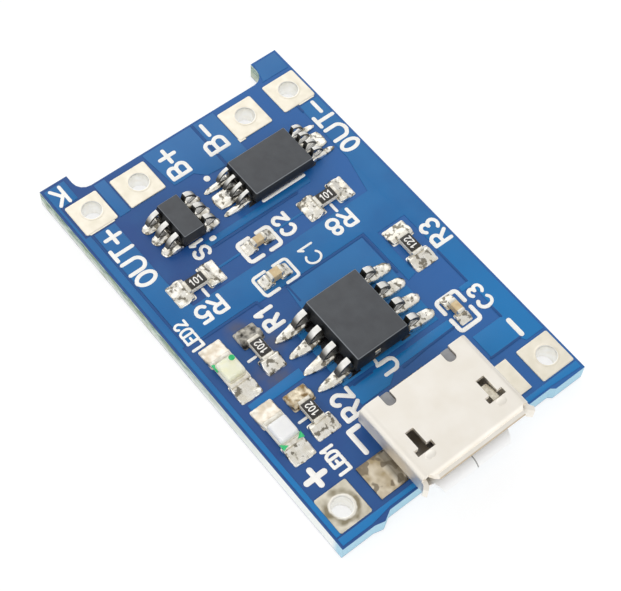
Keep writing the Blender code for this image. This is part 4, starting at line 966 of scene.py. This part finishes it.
def shadow_film_along(name, x0, x1, inner, outer):
    """A thin dark film along a chip's side, from under the body out to a wavy border between the leads: painted
    shadow.
    """
    border = []
    for share in (k / 40 for k in range(41)):
        wave = 0.07 * math.sin(share * 23) + 0.04 * math.sin(share * 61)
        border.append((x0 + (x1 - x0) * share, outer + wave))
    outline = [(x0, inner), *border, (x1, inner)]
    film = drawn("shade_film_" + name, [outline], BOARD_TOP + 0.005, BOARD_TOP + MASK_RISE + 0.015, 0.005)
    set_down(smooth(film), PAINTED_SHADOW, "solder_mask")


shadow_film_along("charger_plus_side", 1.9, 6.55, -1.3, -2.1)
shadow_film_along("charger_minus_side", 1.9, 6.55, 1.7, 2.4)
shadow_film_along("switch_plus_side", -8.4, -5.7, 1.1, 0.42)
shadow_film_along("switch_minus_side", -8.4, -5.7, 4.8, 5.42)
shadow_film_along("protection_plus_side", -8.4, -5.8, -4.0, -4.68)
shadow_film_along("protection_minus_side", -8.4, -5.8, -3.1, -2.5)

# The cut end of the tie bar that held the charger chip's frame shows on its socket side
tie_bar = block("charger_chip_tie_bar", (6.36, -0.42, BOARD_TOP + 0.86), (6.6, -0.02, BOARD_TOP + 1.2))
set_down(soften(tie_bar, 0.03), SPRING, "charger_chip_tin")


def place_leads(shape, rows):
    """Copies a lead to where its solids stand: row 1 reaches to the minus side, row -1 to the plus side."""
    for node, row in rows.items():
        chip = node.split("_chip")[0] + "_chip"
        place = (middle(node).x, middle(chip + "_body").y, BOARD_TOP)
        twin = another(shape, node + "_soldered", place, row * math.pi / 2)
        set_down(twin, None, chip + "_tin", node)


CHARGER_LEAD = {"body_half": 1.935, "toe": 2.66, "shoulder": 0.62, "foot": 0.42, "width": 0.42, "thickness": 0.24}
PROTECTION_LEAD = {"body_half": 0.8, "toe": 1.22, "shoulder": 0.42, "foot": 0.26, "width": 0.34, "thickness": 0.18}
SWITCH_LEAD = {"body_half": 2.2, "toe": 2.76, "shoulder": 0.36, "foot": 0.36, "width": 0.25, "thickness": 0.15}

# The solder on the plus side was drawn to points when the board left the wave
for first, row, point in ((1, 1, 0.1), (5, -1, 0.5)):
    lead = lead_shape("charger_lead", **CHARGER_LEAD, land_width=0.8, land_end=4.07, point=point)
    place_leads(lead, {f"charger_chip_lead_{number}": row for number in range(first, first + 4)})
    bpy.data.objects.remove(lead)

lead = lead_shape("protection_lead", **PROTECTION_LEAD, land_width=0.78, land_end=1.95, point=0.2)
place_leads(lead, {f"protection_chip_lead_{number}": 1 if number < 4 else -1 for number in range(1, 7)})
bpy.data.objects.remove(lead)

lead = lead_shape("switch_lead", **SWITCH_LEAD, land_width=0.46, land_end=4.02, point=0.3)
place_leads(lead, {"switch_chip_gate_1": 1, "switch_chip_gate_2": -1})
place = (middle("switch_chip_drain_frame").x, middle("switch_chip_body").y, BOARD_TOP)
ends = [another(lead, "drain_end", place, way * math.pi / 2) for way in (1, -1)]
set_down(join("switch_chip_drain_soldered", ends), None, "switch_chip_tin", "switch_chip_drain_frame")
bpy.data.objects.remove(lead)

pair = {"offsets": (-0.325, 0.325), "round_off": 0.35, "point": 0.0}
lead = lead_shape("switch_pair", **SWITCH_LEAD, land_width=1.1, land_end=4.0, **pair)
place_leads(lead, {"switch_chip_source_1": 1, "switch_chip_source_2": -1})
bpy.data.objects.remove(lead)


# Resistors


def end_shape(name, inner, end, half, height, land_end, land_width, crest_height, solder, strength):
    """A part's metal end on its square land: a rounded cap, and solder that climbs it and runs out."""
    cap = block(name + "_cap", (inner, -half, 0.04), (end, half, height))
    soften(cap, 0.06, 3)
    side = land_width / 2
    land = block(name + "_land", (inner - 0.05, -side, -SUNK), (land_end, side, 0.045))
    round_corners(land, 0.1, 2)
    soften(land, 0.02, 2, 60)
    melt = pool(name + "_pool", inner + 0.02, land_end - 0.02, land_width * 0.97, crest_height, end + 0.03, 0.28)
    wrinkled(melt, strength)
    return join(name, [coat(cap, CAP_TIN), coat(land, solder), coat(melt, solder)])


def stand(node):
    """Where a small part stands on the board, and its turn if it lies along Y."""
    low, high = corners(node)
    return (*middle(node).xy, BOARD_TOP), math.pi / 2 if high.y - low.y > high.x - low.x else 0


# A resistor's end: its inner and outer face, half its width, and its height
CAP = (0.54, 0.8, 0.4, 0.46)
DIGITS = {1: "102", 2: "102", 3: "122", 5: "101", 6: "101"}
DIGIT_PITCH = 0.28
ENDS = (("a", 0), ("b", math.pi))
end_mould = end_shape("resistor_end", *CAP, 1.67, 1.6, 0.26, SOLDER, 0.09)
burnt_mould = end_shape("burnt_end", *CAP, 1.67, 1.5, 0.3, BURNT, 0.12)
charred_mould = end_shape("charred_end", *CAP, 1.7, 1.45, 0.36, CHARRED, 0.18)
blob_mould = end_shape("blob_end", *CAP, 1.6, 1.3, 0.42, SOLDER, 0.1)
MOULDS = {(1, "a"): blob_mould, (1, "b"): charred_mould, (2, "b"): burnt_mould}
for number, digits in DIGITS.items():
    node = f"resistor_{number}"
    place, turn = stand(node + "_body")
    ceramic = soften(slab("ceramic", 0.6, 0.39, 0.06, 0.43), 0.02)
    set_down(settle(ceramic, node + "_alumina", place, turn), ALUMINA, "resistor_ceramic", node + "_body")
    glaze = soften(slab("glaze", 0.54, 0.37, 0.4, 0.48), 0.03, 3)
    set_down(settle(glaze, node + "_glaze", place, turn), GLAZE, "resistor_ceramic")
    strokes = []
    for k, digit in enumerate(digits):
        right = 0.38 - k * DIGIT_PITCH
        strokes += glyph(digit.replace("0", "O"), (right - 0.19, right, -0.21, 0.21), 180)
    code = pen("code", strokes, 0.075, 0.478, 0.01)
    flip = math.pi if turn else 0
    set_down(settle(code, node + "_code", place, turn + flip), INK, "resistor_ceramic")
    for letter, way in ENDS:
        twin = another(MOULDS.get((number, letter), end_mould), f"{node}_end_{letter}_soldered", place, turn + way)
        set_down(twin, None, "resistor_tin", f"{node}_end_{letter}")
for mould in (end_mould, *MOULDS.values()):
    bpy.data.objects.remove(mould)


# Capacitors


def capacitor(number, width, height):
    node = f"capacitor_{number}"
    place, turn = stand(node)
    half = width / 2
    core = soften(slab("core", 0.3, half - 0.015, 0.05, height - 0.015), 0.03, 3)
    end_piece = end_shape("capacitor_end", 0.26, 0.5, half, height, 1.05, 0.85, height * 0.45, SOLDER, 0.05)
    set_down(settle(core, node + "_titanate", place, turn), TITANATE, "capacitor_ceramic", node)
    for letter, way in ENDS:
        set_down(another(end_piece, f"{node}_end_{letter}", place, turn + way), None, "capacitor_ceramic")
    bpy.data.objects.remove(end_piece)


capacitor(1, 0.6, 0.66)
capacitor(2, 0.5, 0.56)
capacitor(3, 0.5, 0.56)


# Indicator lamps


def lamp_part(number, lens_finish):
    node = f"led_{number}"
    place = (*middle(node + "_lens").xy, BOARD_TOP)
    base = soften(slab("base", 0.98, 0.66, 0.06, 0.36), 0.02)
    set_down(settle(base, node + "_laminate", place), LAMP_WHITE, "lamp_base_white", node + "_base")
    lens = slab("lens", 0.7, 0.66, 0.34, 0.8)
    pick(lens, "FACE", lambda face: face.normal.z > UPRIGHT)
    bpy.ops.transform.resize(value=(0.82, 0.84, 1), center_override=(0, 0, 0.8))
    soften(lens, 0.13, 4)
    set_down(settle(lens, node + "_dome", place), lens_finish, "lamp_lens", node + "_lens")
    for (letter, way), solder in zip(ENDS, (SOLDER, WARM_SOLDER)):
        end_piece = end_shape("lamp_end", 0.72, 1.0, 0.61, 0.4, 2.05, 1.48, 0.24, solder, 0.08)
        set_down(settle(end_piece, f"{node}_end_{letter}", place, way), None, "lamp_base_white")


lamp_part(1, LENS_WHITE)
lamp_part(2, LENS_WARM)

# Green marks on the lamps' edges: a dot and a smear on one, two corners on the other
LAMP_MARKS = {
    "lamp_2_dot": (0.74, 0.815, arc(1.84, -6.72, 0.18, 0.18, 0, 345, 23)),
    "lamp_2_smear": (0.34, 0.44, [(1.4, -7.8), (1.95, -7.8), (1.88, -7.66), (1.64, -7.6), (1.46, -7.64)]),
    "lamp_1_corner_high": (0.34, 0.44, [(7.45, -6.38), (7.86, -6.38), (7.76, -6.78)]),
    "lamp_1_corner_low": (0.34, 0.44, [(7.45, -7.8), (7.86, -7.8), (7.76, -7.42)]),
}
for name, (low, high, outline) in LAMP_MARKS.items():
    mark = drawn("mark_" + name, [outline], BOARD_TOP + low, BOARD_TOP + high, 0.012)
    set_down(smooth(mark), GREEN, "lamp_base_white")


# Wire pads: a swollen square of tin, its hole plated through with a raised rim

HOLES = {
    "pad_out_plus": (-11.09, -7.07),
    "pad_battery_plus": (-11.04, -3.75),
    "pad_battery_minus": (-11.06, 4.16),
    "pad_out_minus": (-11.03, 7.48),
    "pad_in_minus": (12.18, 7.51),
    "pad_in_plus": (12.15, -7.27),
}
# Where a pad's tin runs on to its copper: y from and to
NECKS = {"pad_out_minus": (7.3, 8.45), "pad_battery_minus": (2.75, 3.2), "pad_out_plus": (-8.1, -6.4)}
HOLE_RADIUS = 0.6
BORE_RADIUS = 0.63
# The raised rim and the plated wall: outer radius, lowest and highest point, and rounding
RINGS = ((0.74, BOARD_TOP - SUNK, BOARD_TOP + 0.1, 0.03), (0.65, 0.0, BOARD_TOP + 0.09, 0.01))


def wire_pad(node, hole):
    low, high = corners(node)
    pad = block(node + "_tin", (low.x, low.y, BOARD_TOP - 0.03), (high.x, high.y, BOARD_TOP + 0.055))
    round_corners(pad, 0.12, 3)
    pick(pad, "FACE", lambda face: face.normal.z > UPRIGHT)
    bpy.ops.mesh.inset(thickness=0.06)
    bpy.ops.transform.translate(value=(0, 0, 0.03))
    if node in NECKS:
        low_y, high_y = NECKS[node]
        neck = block("neck", (high.x - 0.2, low_y, BOARD_TOP - SUNK), (high.x + 0.08, high_y, BOARD_TOP + 0.05))
        cut(pad, neck, "UNION")
    clear()
    bpy.ops.mesh.primitive_cylinder_add(vertices=40, radius=BORE_RADIUS, depth=2.2, location=(*hole, 0.9))
    cut(pad, named("bore"))
    flatten(soften(pad, 0.03, 2, 50))
    rings = []
    for radius, low_z, high_z, soft in RINGS:
        circles = [arc(*hole, size, size, 0, 355, 71) for size in (radius, HOLE_RADIUS)]
        rings.append(smooth(drawn("ring", circles, low_z, high_z, soft)))
    pad = join(node + "_tin", [pad, *rings])
    coat(pad, STAINED_TIN if node == "pad_in_plus" else PAD_TIN)
    pad.data.materials.append(HOLE_TIN)
    # The plated wall alone has all its corners this near to the hole's middle
    for face in pad.data.polygons:
        reach = max((pad.data.vertices[k].co.xy - Vector(hole)).length for k in face.vertices)
        if reach < 0.66:
            face.material_index = 1
    set_down(pad, None, "tinned_pad", node)


for node, hole in HOLES.items():
    wire_pad(node, hole)


# Socket: the bent shell with softened sheet edges, and what shows through its slots

SHEET_TOP = 3.67
SIDES = (("plus", -1), ("minus", 1))


def from_solid(node, name):
    """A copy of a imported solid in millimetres, with its corners merged and its flat faces whole."""
    take(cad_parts[node])
    bpy.ops.object.duplicate(linked=False)
    twin = bpy.context.object
    for key in list(twin.keys()):
        del twin[key]
    twin.parent = None
    twin.scale = (1 / MM, 1 / MM, 1 / MM)
    twin = named(name)
    pick(twin, "FACE")
    bpy.ops.mesh.remove_doubles(threshold=0.002)
    bpy.ops.mesh.dissolve_limited(angle_limit=math.radians(1))
    clear()
    return twin


shell = from_solid("socket_shell", "socket_shell_bent")
flatten(soften(shell, 0.05, 3, 35))
set_down(shell, SHELL, "socket_steel", "socket_shell")

# The insulator's two bosses fill the notches at the shell's back edge
for name, side in SIDES:
    notch = side * 2.14
    boss = block(name + "_boss", (9.14, notch - 0.3, 3.3), (9.96, notch + 0.3, 3.52))
    round_corners(boss, 0.12, 3)
    set_down(soften(boss, 0.03, 2, 50), GREY_LIT_POLYMER, "socket_plastic")

# A latch spring shows in the slot on the minus side, rising towards the socket's mouth
spring = [(12.0, 3.3), (12.0, 3.36), (12.7, 3.5), (13.05, 3.52), (13.05, 3.4), (12.7, 3.38)]
leaf = side_drawn("latch_spring", spring, -2.72, -2.28, 0.02)
set_down(smooth(leaf), SPRING, "socket_steel")

# Pressed dimples in front of the slots
for name, side in SIDES:
    centre = (13.38, side * 2.5, SHEET_TOP)
    clear()
    bpy.ops.mesh.primitive_uv_sphere_add(segments=32, ring_count=16, radius=0.3, location=centre)
    dimple = named("dimple_" + name)
    pick(dimple, "VERT")
    bpy.ops.transform.resize(value=(0.8, 1.15, 0.16), center_override=centre)
    set_down(smooth(dimple), SHELL, "socket_steel")
